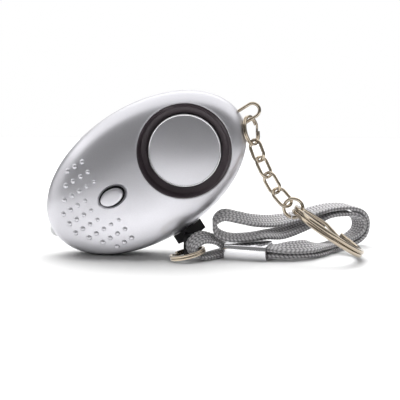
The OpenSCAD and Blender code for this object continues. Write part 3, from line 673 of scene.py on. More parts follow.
def mix_colour(tree, factor, first, second):
    """A colour between two colours."""
    node = tree.nodes.new("ShaderNodeMix")
    node.data_type = "RGBA"
    tree.links.new(factor, node.inputs["Factor"])
    for label, value in (("A", first), ("B", second)):
        socket = next(s for s in node.inputs if s.name == label and s.type == "RGBA")
        if hasattr(value, "is_linked"):
            tree.links.new(value, socket)
        else:
            socket.default_value = (*value, 1)
    return next(s for s in node.outputs if s.type == "RGBA")


def bump(tree, shader, height, distance):
    """Raises a surface by a height."""
    node = tree.nodes.new("ShaderNodeBump")
    node.inputs["Distance"].default_value = distance
    tree.links.new(height, node.inputs["Height"])
    tree.links.new(node.outputs["Normal"], shader.inputs["Normal"])


def grain_group():
    """Fine grain and broad handling marks, shared by the lacquer, the mouldings and the metals."""
    tree, enter, leave = shader_group(
        "surface_grain",
        [
            ("Vector", "NodeSocketVector", None),
            ("Grain Scale", "NodeSocketFloat", 2500.0),
            ("Mark Scale", "NodeSocketFloat", 90.0),
            ("Roughness Low", "NodeSocketFloat", 0.25),
            ("Roughness High", "NodeSocketFloat", 0.35),
        ],
        [("Tone", "NodeSocketFloat"), ("Roughness", "NodeSocketFloat"), ("Height", "NodeSocketFloat")],
    )
    grain = noise(tree, enter["Vector"], enter["Grain Scale"], detail=1.0)
    marks = noise(tree, enter["Vector"], enter["Mark Scale"], detail=4.0, roughness=0.6)
    tree.links.new(grain, leave["Height"])
    tree.links.new(grain, leave["Tone"])
    spread = remap(tree, marks, enter["Roughness Low"], enter["Roughness High"], 0.3, 0.7)
    tree.links.new(spread, leave["Roughness"])


def use_grain(tree, coordinates, grain_scale, mark_scale, low, high):
    """Places the shared grain in a material; returns its outputs."""
    node = tree.nodes.new("ShaderNodeGroup")
    node.node_tree = bpy.data.node_groups["surface_grain"]
    tree.links.new(coordinates, node.inputs["Vector"])
    node.inputs["Grain Scale"].default_value = grain_scale
    node.inputs["Mark Scale"].default_value = mark_scale
    node.inputs["Roughness Low"].default_value = low
    node.inputs["Roughness High"].default_value = high
    return node.outputs


def shaded(value, factor):
    """A colour made darker or lighter."""
    return tuple(min(1, channel * factor) for channel in value)


def grained_material(
    name, value, metallic, rough, grain, marks=90, contrast=0.06, height=0.004, coat=0.0, specular=0.5
):
    """A material with the shared grain in its colour, gloss and surface; height is in millimetres."""
    tree, shader, coordinates = node_setup(name)
    outputs = use_grain(tree, coordinates, grain, marks, *rough)
    tone = mix_colour(tree, outputs["Tone"], shaded(value, 1 - contrast), shaded(value, 1 + contrast))
    tree.links.new(tone, shader.inputs["Base Color"])
    tree.links.new(outputs["Roughness"], shader.inputs["Roughness"])
    bump(tree, shader, outputs["Height"], height * MM)
    shader.inputs["Metallic"].default_value = metallic
    shader.inputs["Coat Weight"].default_value = coat
    shader.inputs["Specular IOR Level"].default_value = specular
    shader.inputs["Coat Roughness"].default_value = 0.12


def webbing_material(value):
    """Grey webbing with painted shade between the stitches, lighter on them, with loose fibre."""
    tree, shader, coordinates = node_setup("grey_webbing")
    # gap is the colour of the painted shade between the stitches
    gap, dull, bright = (shaded(value, factor) for factor in (0.3, 0.85, 1.18))
    fibre_scale = 5200
    fibre_height = 0.05 * MM
    stitch = tree.nodes.new("ShaderNodeAttribute")
    stitch.attribute_name = "stitch"
    fibre = noise(tree, coordinates, fibre_scale, detail=3)
    tint = mix_colour(tree, fibre, dull, bright)
    # The stitch height sets the painted shade: dark between the stitches, none on their tops
    depth = remap(tree, stitch.outputs["Fac"], 0.0, 1.0, 0.05, 0.75)
    shade = mix_colour(tree, depth, gap, tint)
    tree.links.new(shade, shader.inputs["Base Color"])
    rough = remap(tree, fibre, 0.62, 0.85)
    tree.links.new(rough, shader.inputs["Roughness"])
    bump(tree, shader, fibre, fibre_height)
    shader.inputs["Sheen Weight"].default_value = 0.25
    shader.inputs["Sheen Roughness"].default_value = 0.4


def lamp_material(value):
    """Clear cast resin."""
    tree, shader, coordinates = node_setup("clear_resin")
    haze = noise(tree, coordinates, 800)
    rough = remap(tree, haze, 0.02, 0.06)
    tree.links.new(rough, shader.inputs["Roughness"])
    shader.inputs["Base Color"].default_value = (*value, 1)
    shader.inputs["Transmission Weight"].default_value = 0.25
    shader.inputs["IOR"].default_value = 1.5


class ALARM_OT_finishes(bpy.types.Operator):
    """Makes the materials and gives each solid the one of its slot"""

    bl_idname = "alarm.finishes"
    bl_label = "Finishes"

    def execute(self, context):
        finish = context.scene.alarm_finish
        grain_group()
        grained_material(
            "satin_silver", finish.silver, 0.85, (0.3, 0.36), 3200, contrast=0.05, height=0.003, coat=0.15
        )
        grained_material("bright_edge", finish.edge, 1, (0.12, 0.16), 1500, height=0.001)
        grained_material("siren_moulding", finish.siren, 0, (0.36, 0.44), 2600, contrast=0.2, height=0.006)
        # Bare dark moulding of the insides, also put on the walls of holes and gaps as painted shade
        grained_material("bare_moulding", finish.black, 0, (0.5, 0.6), 1800)
        grained_material(
            "black_moulding", finish.black, 0, (0.3, 0.38), 2600, contrast=0.2, height=0.006, specular=0.22
        )
        grained_material("warm_nickel", finish.nickel, 1, (0.08, 0.13), 1500, marks=400, height=0.003)
        grained_material("polished_steel", finish.steel, 1, (0.08, 0.14), 1500, marks=300, height=0.001)
        for name, values in INNER_FINISHES.items():
            grained_material(name, *values)
        webbing_material(finish.strap)
        lamp_material(finish.lamp)
        for part in frame["record"]["subparts"]:
            materials = frame["nodes"][part["node"]].data.materials
            materials.clear()
            materials.append(bpy.data.materials[SLOT_FINISHES[part["material_slot"]]])
        return {"FINISHED"}


def add_dome(bm, body, inset, sides, rings):
    """Adds half of the oval, drawn in by inset, open at the parting plane, in the body's frame."""
    made = bmesh.ops.create_uvsphere(bm, u_segments=sides, v_segments=2 * rings, radius=1)["verts"]
    lower = [vert for vert in made if vert.co.z < -TOUCHING]
    bmesh.ops.delete(bm, geom=lower, context="VERTS")
    exponent = 2 / body.rim_power
    crowding = 1.3
    for vert in (vert for vert in made if vert.is_valid):
        x, y, z = vert.co
        spread = math.hypot(x, y)
        share = max(0, math.asin(min(1, z)) / (math.pi / 2))
        angle = math.pi / 2 * share ** crowding
        rho = max(0, math.cos(angle)) ** exponent
        depth = max(0, math.sin(angle)) ** exponent
        across = (x / spread, y / spread) if spread > TOUCHING else (0, 0)
        vert.co = (
            (body.length / 2 - inset) * rho * across[0],
            -(body.half_depth - inset) * depth,
            (body.width / 2 - inset) * rho * across[1],
        )


def shell_shape(body):
    """One closed shell half that looks along -Y, with a small groove at its rim."""
    bm = bmesh.new()
    add_dome(bm, body, 0, sides=288, rings=48)
    for vert in bm.verts:
        if abs(vert.co.y) < TOUCHING:
            vert.co *= 1 - body.seam / body.width * 2
    inner = bmesh.new()
    add_dome(inner, body, body.wall, sides=96, rings=16)
    bmesh.ops.reverse_faces(inner, faces=inner.faces)
    passing = bpy.data.meshes.new("inner_wall")
    inner.to_mesh(passing)
    inner.free()
    bm.from_mesh(passing)
    bpy.data.meshes.remove(passing)
    bmesh.ops.bridge_loops(bm, edges=open_edges(bm))
    bmesh.ops.recalc_face_normals(bm, faces=bm.faces)
    return bm


def cut_rim_holes(bm, scene):
    """Cuts the holes that both shells share: lamp, bail and pin."""
    body, lamp, chain, pin = scene.alarm_body, scene.alarm_lamp, scene.alarm_chain, scene.alarm_pin
    tool = bmesh.new()
    tip = -body.length / 2 - lamp.reach
    add_rod(tool, (tip, 0, 0), (tip + lamp.hole_depth, 0, 0), lamp.diameter / 2 + body.rim_gap)
    bail_end = body.length / 2
    for side in (-1, 1):
        leg = chain.bail_place + side * chain.bail_span / 2
        add_rod(
            tool, (bail_end - chain.bail_depth, 0, leg), (bail_end + OVERSHOOT, 0, leg),
            chain.bail_wire / 2 + body.rim_gap, steps=24,
        )
    slot = Matrix.Translation((pin.place, 0, -body.width / 2)) @ Matrix.Diagonal((
        pin.blade_width + 2 * body.rim_gap, pin.blade + 2 * body.rim_gap, 2 * pin.blade_depth, 1
    ))
    bmesh.ops.create_cube(tool, size=1, matrix=slot)
    combine(bm, tool, "DIFFERENCE")


def bare_inside_and_shade_gaps(bm, body):
    """Gives the faces that the lacquer doesn't reach the second material: bare dark moulding, which also paints
    shade into the gaps round the holes.
    """
    for face in bm.faces:
        middle = face.calc_center_median()
        inside = face_depth(body, middle.x, middle.z) - abs(middle.y)
        edge = math.hypot(middle.x / body.length * 2, middle.z / body.width * 2)
        off_rim = (1 - edge) * body.width / 2
        face.material_index = 1 if min(inside, off_rim) > body.paint_depth else 0


def finish_shell(bm, scene, node):
    """Cuts the rim of a shell half, bares its inside, paints shade into its holes and makes its piece."""
    body = scene.alarm_body
    cut_rim_holes(bm, scene)
    bare_inside_and_shade_gaps(bm, body)
    transform(bm, body_frame(body))
    finish_piece(
        f"{node}_silver", bm, "housing", ("satin_silver", "bare_moulding"), (node,), sharp=28
    )


def bump_places(bumps, button):
    """Place across the body and diameter of each grip bump."""
    outermost = len(BUMP_COLUMNS) - 1
    for row in range(-outermost, outermost + 1):
        first, last = BUMP_COLUMNS[abs(row)]
        for column in range(first, last + 1):
            u = bumps.start - column * bumps.pitch
            v = row * bumps.row_pitch
            away = math.hypot(u - button.place, v)
            share = min(1, max(0, (away - bumps.near) / (bumps.far - bumps.near)))
            yield u, v, bumps.smallest + (bumps.largest - bumps.smallest) * share


class ALARM_OT_front_shell(bpy.types.Operator):
    """Builds the front shell with its siren hole, button hole and grip bumps"""

    bl_idname = "alarm.front_shell"
    bl_label = "Front shell"

    def execute(self, context):
        scene = context.scene
        body, siren, button = scene.alarm_body, scene.alarm_siren, scene.alarm_button
        bm = shell_shape(body)
        combine(bm, self.grip_bumps(body, scene.alarm_bumps, button), "UNION")
        front = body.half_depth + OVERSHOOT
        hole = bmesh.new()
        add_rod(
            hole, (siren.place, -siren.seat / 2, 0), (siren.place, -front, 0),
            siren.ring / 2 + siren.hole_gap, steps=SIREN_STEPS,
        )
        combine(bm, hole, "DIFFERENCE")
        top = face_depth(body, button.place, 0)
        opening = button.length / 2 + button.gap
        flare = opening + 2 * button.bezel
        combine(bm, self.oval_rod(button, top / 2, front, opening, opening), "DIFFERENCE")
        combine(
            bm, self.oval_rod(button, top - button.bezel_depth, top + button.bezel_depth, opening, flare),
            "DIFFERENCE",
        )
        finish_shell(bm, scene, "front_shell")
        self.hole_edge(body, siren)
        return {"FINISHED"}

    @staticmethod
    def grip_bumps(body, bumps, button):
        """The balls whose tips stand out of the face as grip bumps."""
        bm = bmesh.new()
        for u, v, diameter in bump_places(bumps, button):
            height = bumps.height * diameter / bumps.largest
            ball = (diameter ** 2 / 4 + height ** 2) / (2 * height)
            place = Matrix.Translation((u, ball - height - face_depth(body, u, v), v))
            bmesh.ops.create_uvsphere(bm, u_segments=28, v_segments=18, radius=ball, matrix=place)
        return bm

    @staticmethod
    def oval_rod(button, low, high, radius, end_radius):
        """An oval rod or cone through the button hole, between two depths of the face."""
        bm = bmesh.new()
        add_rod(bm, (0, -low, 0), (0, -high, 0), radius, end_radius, steps=BUTTON_STEPS)
        ratio = (button.width / 2 + button.gap) / (button.length / 2 + button.gap)
        middle = Matrix.Translation((button.place + button.hole_shift, 0, button.hole_rise))
        transform(bm, middle @ Matrix.Diagonal((1, 1, ratio, 1)))
        return bm

    @staticmethod
    def hole_edge(body, siren):
        """The rounded edge of the siren hole: a fine bead that follows the curved face."""
        hole = siren.ring / 2 + siren.hole_gap
        bm = bmesh.new()
        stand = Matrix.Translation((hole + siren.bead_out * siren.bead, 0, 0))
        outline = wire_outline(siren.bead, sides=12)
        loop = section_loop(bm, outline, stand @ Matrix.Rotation(math.pi / 2, 4, "X"))
        spin_round(bm, loop, SIREN_STEPS)
        for vert in bm.verts:
            out = hole * Vector((vert.co.x, vert.co.y)).normalized()
            vert.co.z += face_depth(body, siren.place + out.x, out.y) - siren.bead_sunk * siren.bead
        transform(bm, on_face(body, siren.place))
        finish_piece("siren_hole_edge", bm, "housing", ("satin_silver",))


class ALARM_OT_rear_shell(bpy.types.Operator):
    """Builds the rear shell with its three screw wells"""

    bl_idname = "alarm.rear_shell"
    bl_label = "Rear shell"

    def execute(self, context):
        body = context.scene.alarm_body
        bm = shell_shape(body)
        transform(bm, Matrix.Rotation(math.pi, 4, "X"))
        back = body.half_depth + OVERSHOOT
        wells = bmesh.new()
        for along, across in SCREW_PLACES:
            u, v = along * MM, across * MM
            add_rod(wells, (u, body.well_floor, v), (u, back, v), body.well / 2)
        combine(bm, wells, "DIFFERENCE")
        finish_shell(bm, context.scene, "rear_shell")
        return {"FINISHED"}


class ALARM_OT_siren(bpy.types.Operator):
    """Builds the siren's black ring and silver cap"""

    bl_idname = "alarm.siren"
    bl_label = "Siren"

    def execute(self, context):
        body, siren = context.scene.alarm_body, context.scene.alarm_siren
        ring = self.ring(body, siren)
        transform(ring, on_face(body, siren.place))
        finish_piece(
            "siren_ring_black", ring, "housing", ("siren_moulding",), ("speaker_ring",)
        )
        cap = self.cap(siren)
        transform(cap, on_face(body, siren.place))
        finish_piece(
            "siren_cap_silver", cap, "housing", ("satin_silver", "bright_edge"),
            ("speaker_cap",), sharp=25,
        )
        return {"FINISHED"}

    @staticmethod
    def ring(body, siren):
        """The dished ring, its front edge cut to the curved face."""
        outer = siren.ring / 2
        flat = outer - siren.funnel
        hole = siren.cap / 2 + siren.cap_gap
        inner = siren.flat_depth - siren.flat_fall
        floor = siren.seat + siren.floor
        top = body.half_depth
        soft = siren.ring_soft
        bm = lathe([
            (0, siren.seat), (outer, siren.seat), (outer, top), (outer - siren.ring_edge, top),
            (flat + soft, siren.flat_depth + 3 * soft), (flat, siren.flat_depth + soft),
            (flat - soft, siren.flat_depth), (hole + soft, inner), (hole, inner - soft),
            (hole, floor), (0, floor),
        ], SIREN_STEPS)
        for vert in bm.verts:
            limit = face_depth(body, siren.place + vert.co.x, vert.co.y) - siren.ring_inset
            vert.co.z = min(vert.co.z, limit)
        return bm

    @staticmethod
    def cap(siren):
        """The crowned cap, with a half-round lip that takes the second material."""
        crown_steps, lip_steps = 12, 10
        rim = siren.flat_depth + siren.cap_stand
        back = rim - siren.cap_thickness
        radius = siren.cap / 2
        face_radius = radius - siren.lip
        shares = [step / crown_steps for step in range(crown_steps + 1)]
        crown = [(face_radius * share, rim + siren.crown * (1 - share ** 2)) for share in shares]
        swings = [math.pi * step / lip_steps for step in range(1, lip_steps + 1)]
        lip = [
            (face_radius + siren.lip / 2 * (1 - math.cos(swing)), rim + siren.lip / 2 * math.sin(swing))
            for swing in swings
        ]
        bm = lathe(crown + lip + [(radius, back), (0, back)], SIREN_STEPS)
        for face in bm.faces:
            middle = face.calc_center_median()
            on_lip = middle.z > back and math.hypot(middle.x, middle.y) > face_radius
            face.material_index = 1 if on_lip else 0
        return bm


class ALARM_OT_button(bpy.types.Operator):
    """Builds the oval light button"""

    bl_idname = "alarm.button"
    bl_label = "Light button"

    def execute(self, context):
        body, button = context.scene.alarm_body, context.scene.alarm_button
        level = face_depth(body, button.place, 0)
        top = level + button.stand
        painted = top - button.paint_depth
        flange = top - button.flange_depth
        back = flange - button.flange
        reach = 1 + (button.gap + button.flange_lap) / (button.length / 2)
        crown = [(share, top - fall * MM) for share, fall in BUTTON_CROWN]
        bm = lathe(crown + [(1, flange), (reach, flange), (reach, back), (0, back)], BUTTON_STEPS)
        transform(bm, Matrix.Diagonal((button.length / 2, button.width / 2, 1, 1)))
        # Below the lacquer the button is bare dark moulding, which also paints shade into the gap round it
        for face in bm.faces:
            face.material_index = 1 if face.calc_center_median().z < painted else 0
        for vert in bm.verts:
            if vert.co.z > painted:
                vert.co.z += face_depth(body, button.place + vert.co.x, vert.co.y) - level
        transform(bm, on_face(body, button.place))
        finish_piece(
            "light_button_silver", bm, "light_button", ("satin_silver", "bare_moulding"),
            ("light_button",),
        )
        return {"FINISHED"}


class ALARM_OT_lamp(bpy.types.Operator):
    """Builds the clear lamp with the metal cup inside it"""

    bl_idname = "alarm.lamp"
    bl_label = "Lamp"

    def execute(self, context):
        body, lamp = context.scene.alarm_body, context.scene.alarm_lamp
        radius = lamp.diameter / 2
        dome_steps = 16
        swings = [math.pi / 2 * step / dome_steps for step in range(dome_steps + 1)]
        dome = [(radius * math.sin(swing), radius * math.cos(swing)) for swing in swings]
        flange = radius + lamp.flange_lap
        back = -lamp.barrel - lamp.flange
        lens = lathe(
            dome + [(radius, -lamp.barrel), (flange, -lamp.barrel), (flange, back), (0, back)], 64
        )
        cup = lathe([(across * MM, height * MM) for across, height in CUP_PROFILE], 32)
        tip = Matrix.Translation((-body.length / 2 - lamp.reach + radius, 0, 0))
        place = body_frame(body) @ tip @ Matrix.Rotation(-math.pi / 2, 4, "Y")
        for bm, name, slot, material, replaced in (
            (lens, "lamp_lens", "clear_lamp", "clear_resin", ("lamp",)),
            (cup, "lamp_cup", "polished_steel", "polished_steel", ()),
        ):
            transform(bm, place)
            finish_piece(name, bm, "housing", (material,), replaced)
        return {"FINISHED"}


def oval_link(arc, left, right, wire):
    """An oval link of round wire in its XY plane, between two half rings."""
    bm = bmesh.new()
    start = Matrix.Translation((left, arc, 0)) @ Matrix.Rotation(math.pi / 2, 4, "Y")
    loop = section_loop(bm, wire_outline(wire / 2), start)
    for centre, run in ((left, right - left), (right, left - right)):
        loop = spin_on(bm, loop, math.pi, 24, centre=(centre, 0, 0))
        loop = bmesh.ops.extrude_edge_only(bm, edges=only_edges(loop))["geom"]
        verts = only_verts(loop)
        bmesh.ops.translate(bm, vec=(run, 0, 0), verts=verts)
        loop = verts + [edge for edge in open_edges(bm) if all(vert in verts for vert in edge.verts)]
    close_up(bm)
    return bm


class ALARM_OT_chain(bpy.types.Operator):
    """Builds the oval links and the jump ring"""

    bl_idname = "alarm.chain"
    bl_label = "Chain"

    def execute(self, context):
        chain, rings = context.scene.alarm_chain, context.scene.alarm_rings
        stops = [PIVOTS[f"chain_link_{index}_swing"] for index in range(1, 5)]
        stops.append(PIVOTS["jump_ring_swing"])
        arc = (chain.link_width - chain.link_wire) / 2
        cross = (chain.link_wire + chain.link_slack) / 2
        ring_wire = math.hypot(rings.bail_ring_radial, rings.bail_ring_axial) / 2
        ring_cross = (chain.link_wire / 2 + ring_wire + chain.link_slack / 2) / 2
        for index, (start, end) in enumerate(zip(stops, stops[1:])):
            before = ring_cross if index == 0 else cross
            bm = oval_link(arc, arc - before, (end - start).length + cross - arc, chain.link_wire)
            transform(bm, Matrix.Translation(start) @ aim(end - start, chain.link_rolls[index]))
            name = f"chain_link_{index + 1}"
            finish_piece(f"{name}_wire", bm, name, ("warm_nickel",), (name,))
        ring = self.cut_ring(chain)
        centre = PIVOTS["key_ring_swing"]
        transform(ring, Matrix.Translation(centre) @ aim(centre - stops[-1], math.pi / 2))
        finish_piece("jump_ring_wire", ring, "jump_ring", ("warm_nickel",), ("jump_ring",))
        return {"FINISHED"}

    @staticmethod
    def cut_ring(chain):
        """The jump ring: one turn of round wire with a narrow cut."""
        bm = bmesh.new()
        middle = (chain.jump_ring - chain.link_wire) / 2
        stand = (
            Matrix.Rotation(chain.jump_start, 4, "Z")
            @ Matrix.Translation((middle, 0, 0))
            @ Matrix.Rotation(math.pi / 2, 4, "X")
        )
        loop = section_loop(bm, wire_outline(chain.link_wire / 2), stand)
        spin_on(bm, loop, FULL_TURN - chain.jump_cut, 72)
        cap_ends(bm)
        return bm


class ALARM_OT_split_rings(bpy.types.Operator):
    """Builds the three two-turn split rings"""

    bl_idname = "alarm.split_rings"
    bl_label = "Split rings"

    def execute(self, context):
        rings = context.scene.alarm_rings
        hang = PIVOTS["chain_link_1_swing"] - box_middle("bail_ring")
        lean = box_middle("key_ring") - PIVOTS["key_ring_swing"]
        key_lean = Matrix.Rotation(-math.atan2(lean.z, lean.x), 4, "Y")
        stances = (
            ("bail_ring", "bail_ring", aim(hang, 0)),
            ("key_ring", "key_ring", key_lean @ Matrix.Rotation(rings.key_ring_tilt, 4, "X")),
            ("pin_ring", "pin_and_strap", Matrix.Rotation(-rings.pin_ring_tilt, 4, "Y")),
        )
        for name, rides_on, stance in stances:
            bm = self.coil(rings, name)
            transform(bm, Matrix.Translation(box_middle(name)) @ stance)
            finish_piece(f"{name}_coil", bm, rides_on, ("warm_nickel",), (name,))
        return {"FINISHED"}

    @staticmethod
    def coil(rings, name):
        """A ring of flat wire wound twice, with the step where the first turn climbs to the second."""
        diameter, radial, axial, start = (
            getattr(rings, name + part) for part in ("", "_radial", "_axial", "_start")
        )
        turn_height = axial / 2 - rings.turn_gap
        outline = rounded_outline(radial, turn_height, min(radial, turn_height) * rings.corner, 4)
        stand = (
            Matrix.Rotation(start + rings.climb, 4, "Z")
            @ Matrix.Translation(((diameter - radial) / 2, 0, -axial / 4))
            @ Matrix.Rotation(math.pi / 2, 4, "X")
        )
        level_turn = FULL_TURN - 2 * rings.climb
        bm = bmesh.new()
        loop = section_loop(bm, outline, stand)
        loop = spin_on(bm, loop, level_turn, 120)
        loop = spin_on(bm, loop, 2 * rings.climb, 12, rise=axial / 2)
        spin_on(bm, loop, level_turn, 120)
        cap_ends(bm)
        return bm


class ALARM_OT_pull_pin(bpy.types.Operator):
    """Builds the black pull pin: its square grip, its blade and the tab with the eye"""

    bl_idname = "alarm.pull_pin"
    bl_label = "Pull pin"

    def execute(self, context):
        body, pin, rings = context.scene.alarm_body, context.scene.alarm_pin, context.scene.alarm_rings
        bm = self.grip(body, pin)
        combine(bm, self.blade(body, pin), "UNION")
        transform(bm, body_frame(body))
        tab = self.tab(pin)
        eye = box_middle("pin_ring") + Vector((0, (rings.pin_ring - rings.pin_ring_radial) / 2, 0))
        transform(tab, Matrix.Translation(eye))
        combine(bm, tab, "UNION")
        finish_piece(
            "pull_pin_black", bm, "pin_and_strap", ("black_moulding",), ("pull_pin",),
            sharp=50,
        )
        return {"FINISHED"}

    @staticmethod
    def grip(body, pin):
        """The square grip, its top hollowed to follow the rim of the body."""
        bm = bmesh.new()
        diagonal = Matrix.Translation((pin.place, 0, 0)) @ Matrix.Rotation(math.pi / 4, 4, "Z")
        bmesh.ops.create_grid(bm, x_segments=14, y_segments=14, size=pin.grip / 2, matrix=diagonal)
        rims = open_edges(bm)
        length = body.length / 2 + pin.clearance
        width = body.width / 2 + pin.clearance
        depth = body.half_depth + pin.clearance
        for vert in bm.verts:
            rho = (1 - (abs(vert.co.y) / depth) ** body.rim_power) ** (1 / body.rim_power)
            vert.co.z = -width * math.sqrt(rho ** 2 - (vert.co.x / length) ** 2)
        lower = only_verts(bmesh.ops.extrude_edge_only(bm, edges=rims)["geom"])
        for vert in lower:
            vert.co.z = -body.width / 2 - pin.grip_height
        bmesh.ops.edgeloop_fill(bm, edges=open_edges(bm))
        close_up(bm)
        half = pin.grip / math.sqrt(2)

        def on_corner(vert):
            off_x = abs(abs(vert.co.x - pin.place) - half)
            off_y = abs(abs(vert.co.y) - half)
            return min(off_x, off_y) < TOUCHING

        uprights = [
            edge for edge in bm.edges
            if all(on_corner(vert) for vert in edge.verts)
            and abs(edge.verts[0].co.z - edge.verts[1].co.z) > MM
        ]
        soften(bm, uprights, pin.edge, 4)
        return bm

    @staticmethod
    def blade(body, pin):
        """The flat blade that goes from the grip into the body."""
        bm = bmesh.new()
        grip_foot = -body.width / 2 - pin.grip_height
        foot = grip_foot + pin.blade_root
        top = -body.width / 2 + pin.blade_depth
        place = Matrix.Translation((pin.place, 0, (foot + top) / 2)) @ Matrix.Diagonal((
            pin.blade_width, pin.blade, top - foot, 1
        ))
        bmesh.ops.create_cube(bm, size=1, matrix=place)
        soften(bm, bm.edges, pin.blade_edge, 2)
        return bm

    @staticmethod
    def tab(pin):
        """The upright tab, its eye at the origin."""
        bm = bmesh.new()
        eye_height = box_middle("pin_ring").z
        middle = Vector((0, pin.tab_height / 2 - eye_height, 0))
        outline = rounded_outline(pin.tab_width, pin.tab_height, pin.tab_corner, 4)
        outline = even_outline([point + middle for point in outline], 48)
        first = max(outline, key=lambda point: math.atan2(point.y, point.x))
        shift = outline.index(first)
        outline = outline[shift:] + outline[:shift]
        ring = [pin.eye * Vector((point.x, point.y, 0)).normalized() for point in outline]
        upright = Matrix.Translation((-pin.tab_thickness / 2, 0, 0)) @ ALONG_X
        loops = section_loop(bm, outline, upright) + section_loop(bm, ring, upright)
        bmesh.ops.bridge_loops(bm, edges=only_edges(loops))
        copy = bmesh.ops.duplicate(bm, geom=list(bm.faces))["geom"]
        bmesh.ops.translate(bm, vec=(pin.tab_thickness, 0, 0), verts=only_verts(copy))
        round_eye = pin.eye * 1.05
        for low, high in ((round_eye, math.inf), (0, round_eye)):
            rims = [
                edge for edge in open_edges(bm)
                if low <= math.hypot(edge.verts[0].co.y, edge.verts[0].co.z) < high
            ]
            bmesh.ops.bridge_loops(bm, edges=rims)
        close_up(bm)
        return bm


def route_points(body):
    """The strap's route as one run, in metres: its place, heading and roll."""
    middle = body_frame(body).translation
    run = LOOP_ROUTE[:-1] + NECK_ROUTE[::-1]
    return [
        Vector((x * MM + middle.x, y * MM + middle.y, z * MM, math.radians(heading), math.radians(roll)))
        for x, y, z, heading, roll in run
    ]


def between(a, b, c, d, t):
    """A point of the smooth curve through four points, between the middle two."""
    return 0.5 * (
        2 * b + (c - a) * t + (2 * a - 5 * b + 4 * c - d) * t ** 2 + (3 * b - a - 3 * c + d) * t ** 3
    )


def even_run(points, pitch):
    """The smooth curve through a route at an even pitch."""
    fine_steps = 40
    fine = []
    last = len(points) - 1
    for index in range(last):
        around = [points[min(max(index + k, 0), last)] for k in (-1, 0, 1, 2)]
        fine += [between(*around, step / fine_steps) for step in range(fine_steps)]
    fine.append(points[last])
    run = [fine[0]]
    spare = pitch
    for a, b in zip(fine, fine[1:]):
        length = (b.xyz - a.xyz).length
        while spare <= length:
            run.append(a.lerp(b, spare / length))
            spare += pitch
        spare -= length
    return run


def stitch_height(strap, along, row):
    """Height of the slanted stitches, from 0 to 1, at a distance along and a row across."""
    index = math.floor(row)
    across = row - index
    slant = strap.slant if index % 2 == 0 else -strap.slant
    wave = 0.5 + 0.5 * math.cos(FULL_TURN * (along / strap.stitch + slant * (across - 0.5)))
    return wave ** 0.8 * math.sin(math.pi * across) ** 0.6


def strap_axes(run, index):
    """The directions across and out of the webbing at a point of its run."""
    before, after = run[max(index - 1, 0)], run[min(index + 1, len(run) - 1)]
    along = (after.xyz - before.xyz).normalized()
    heading, roll = run[index][3], run[index][4]
    side = Vector((
        -math.sin(heading) * math.cos(roll), math.cos(heading) * math.cos(roll), math.sin(roll)
    ))
    side = (side - side.dot(along) * along).normalized()
    return side, along.cross(side)


def join_rings(bm, rings):
    """Faces between neighbouring rings of points, with both ends capped."""
    for ring, following in zip(rings, rings[1:]):
        count = len(ring)
        for index in range(count):
            after = (index + 1) % count
            bm.faces.new((ring[index], ring[after], following[after], following[index]))
    bm.faces.new(list(reversed(rings[0])))
    bm.faces.new(rings[-1])


class ALARM_OT_strap(bpy.types.Operator):
    """Builds the woven wrist strap and the metal sleeve that closes it"""

    bl_idname = "alarm.strap"
    bl_label = "Wrist strap"

    def execute(self, context):
        body, strap = context.scene.alarm_body, context.scene.alarm_strap
        sleeve = self.sleeve(strap)
        run = even_run(route_points(body), strap.pitch)
        webbing = finish_piece(
            "wrist_strap_webbing", self.webbing(strap, run), "pin_and_strap",
            ("grey_webbing",),
            ("lanyard_neck", "lanyard_lower_run", "lanyard_loop", "lanyard_upper_run"), sharp=180,
        )
        return {"FINISHED"}

    @staticmethod
    def webbing(strap, run):
        """The flat webbing along its run, with raised stitches whose height is kept for the painted shade between
        them in the material.
        """
        points_per_row = 6
        count = points_per_row * strap.rows
        flat = rounded_outline(
            strap.width - 2 * strap.relief, strap.thickness - 2 * strap.relief, strap.corner, 6
        )
        outline = even_outline(flat, count)
        normals = [
            (outline[(i + 1) % count] - outline[i - 1]).cross(Vector((0, 0, 1))).normalized()
            for i in range(count)
        ]
        bm = bmesh.new()
        heights = bm.verts.layers.float.new("stitch")
        rings = []
        for index, point in enumerate(run):
            side, up = strap_axes(run, index)
            ring = []
            for place, (across, normal) in enumerate(zip(outline, normals)):
                height = stitch_height(strap, index * strap.pitch, place / points_per_row)
                spot = across + normal * strap.relief * height
                vert = bm.verts.new(point.xyz + spot.x * side + spot.y * up)
                vert[heights] = height
                ring.append(vert)
            rings.append(ring)
        join_rings(bm, rings)
        bmesh.ops.recalc_face_normals(bm, faces=bm.faces)
        return bm

    @staticmethod
    def sleeve(strap):
        """The flattened metal sleeve, with rounded mouths."""
        bm = bmesh.new()
        half = strap.crimp_length / 2
        stretch = strap.crimp_corner / strap.crimp_bulge
        loops = []
        for inset, ends in ((0, (-half, half)), (strap.crimp_wall, (half, -half))):
            outline = rounded_outline(
                stretch * (strap.crimp_width - 2 * inset), strap.crimp_height - 2 * inset,
                strap.crimp_corner - inset, 14,
            )
            outline = [Vector((point.x / stretch, point.y, 0)) for point in outline]
            for end in ends:
                loops.append(section_loop(bm, outline, Matrix.Translation((end, 0, 0)) @ ALONG_X))
        for loop, following in zip(loops, loops[1:] + loops[:1]):
            bmesh.ops.bridge_loops(bm, edges=only_edges(loop + following))
        bmesh.ops.recalc_face_normals(bm, faces=bm.faces)
        mouths = [
            edge for edge in bm.edges
            if edge.calc_face_angle(0) > 1
            and all(abs(abs(vert.co.x) - half) < TOUCHING for vert in edge.verts)
        ]
        soften(bm, mouths, strap.crimp_edge, 2)
        transform(
            bm, Matrix.Translation(box_middle("lanyard_crimp"))
            @ Matrix.Rotation(strap.crimp_heading, 4, "Z") @ Matrix.Rotation(strap.crimp_roll, 4, "X"),
        )
        return finish_piece(
            "strap_sleeve", bm, "pin_and_strap", ("polished_steel",), ("lanyard_crimp",)
        )


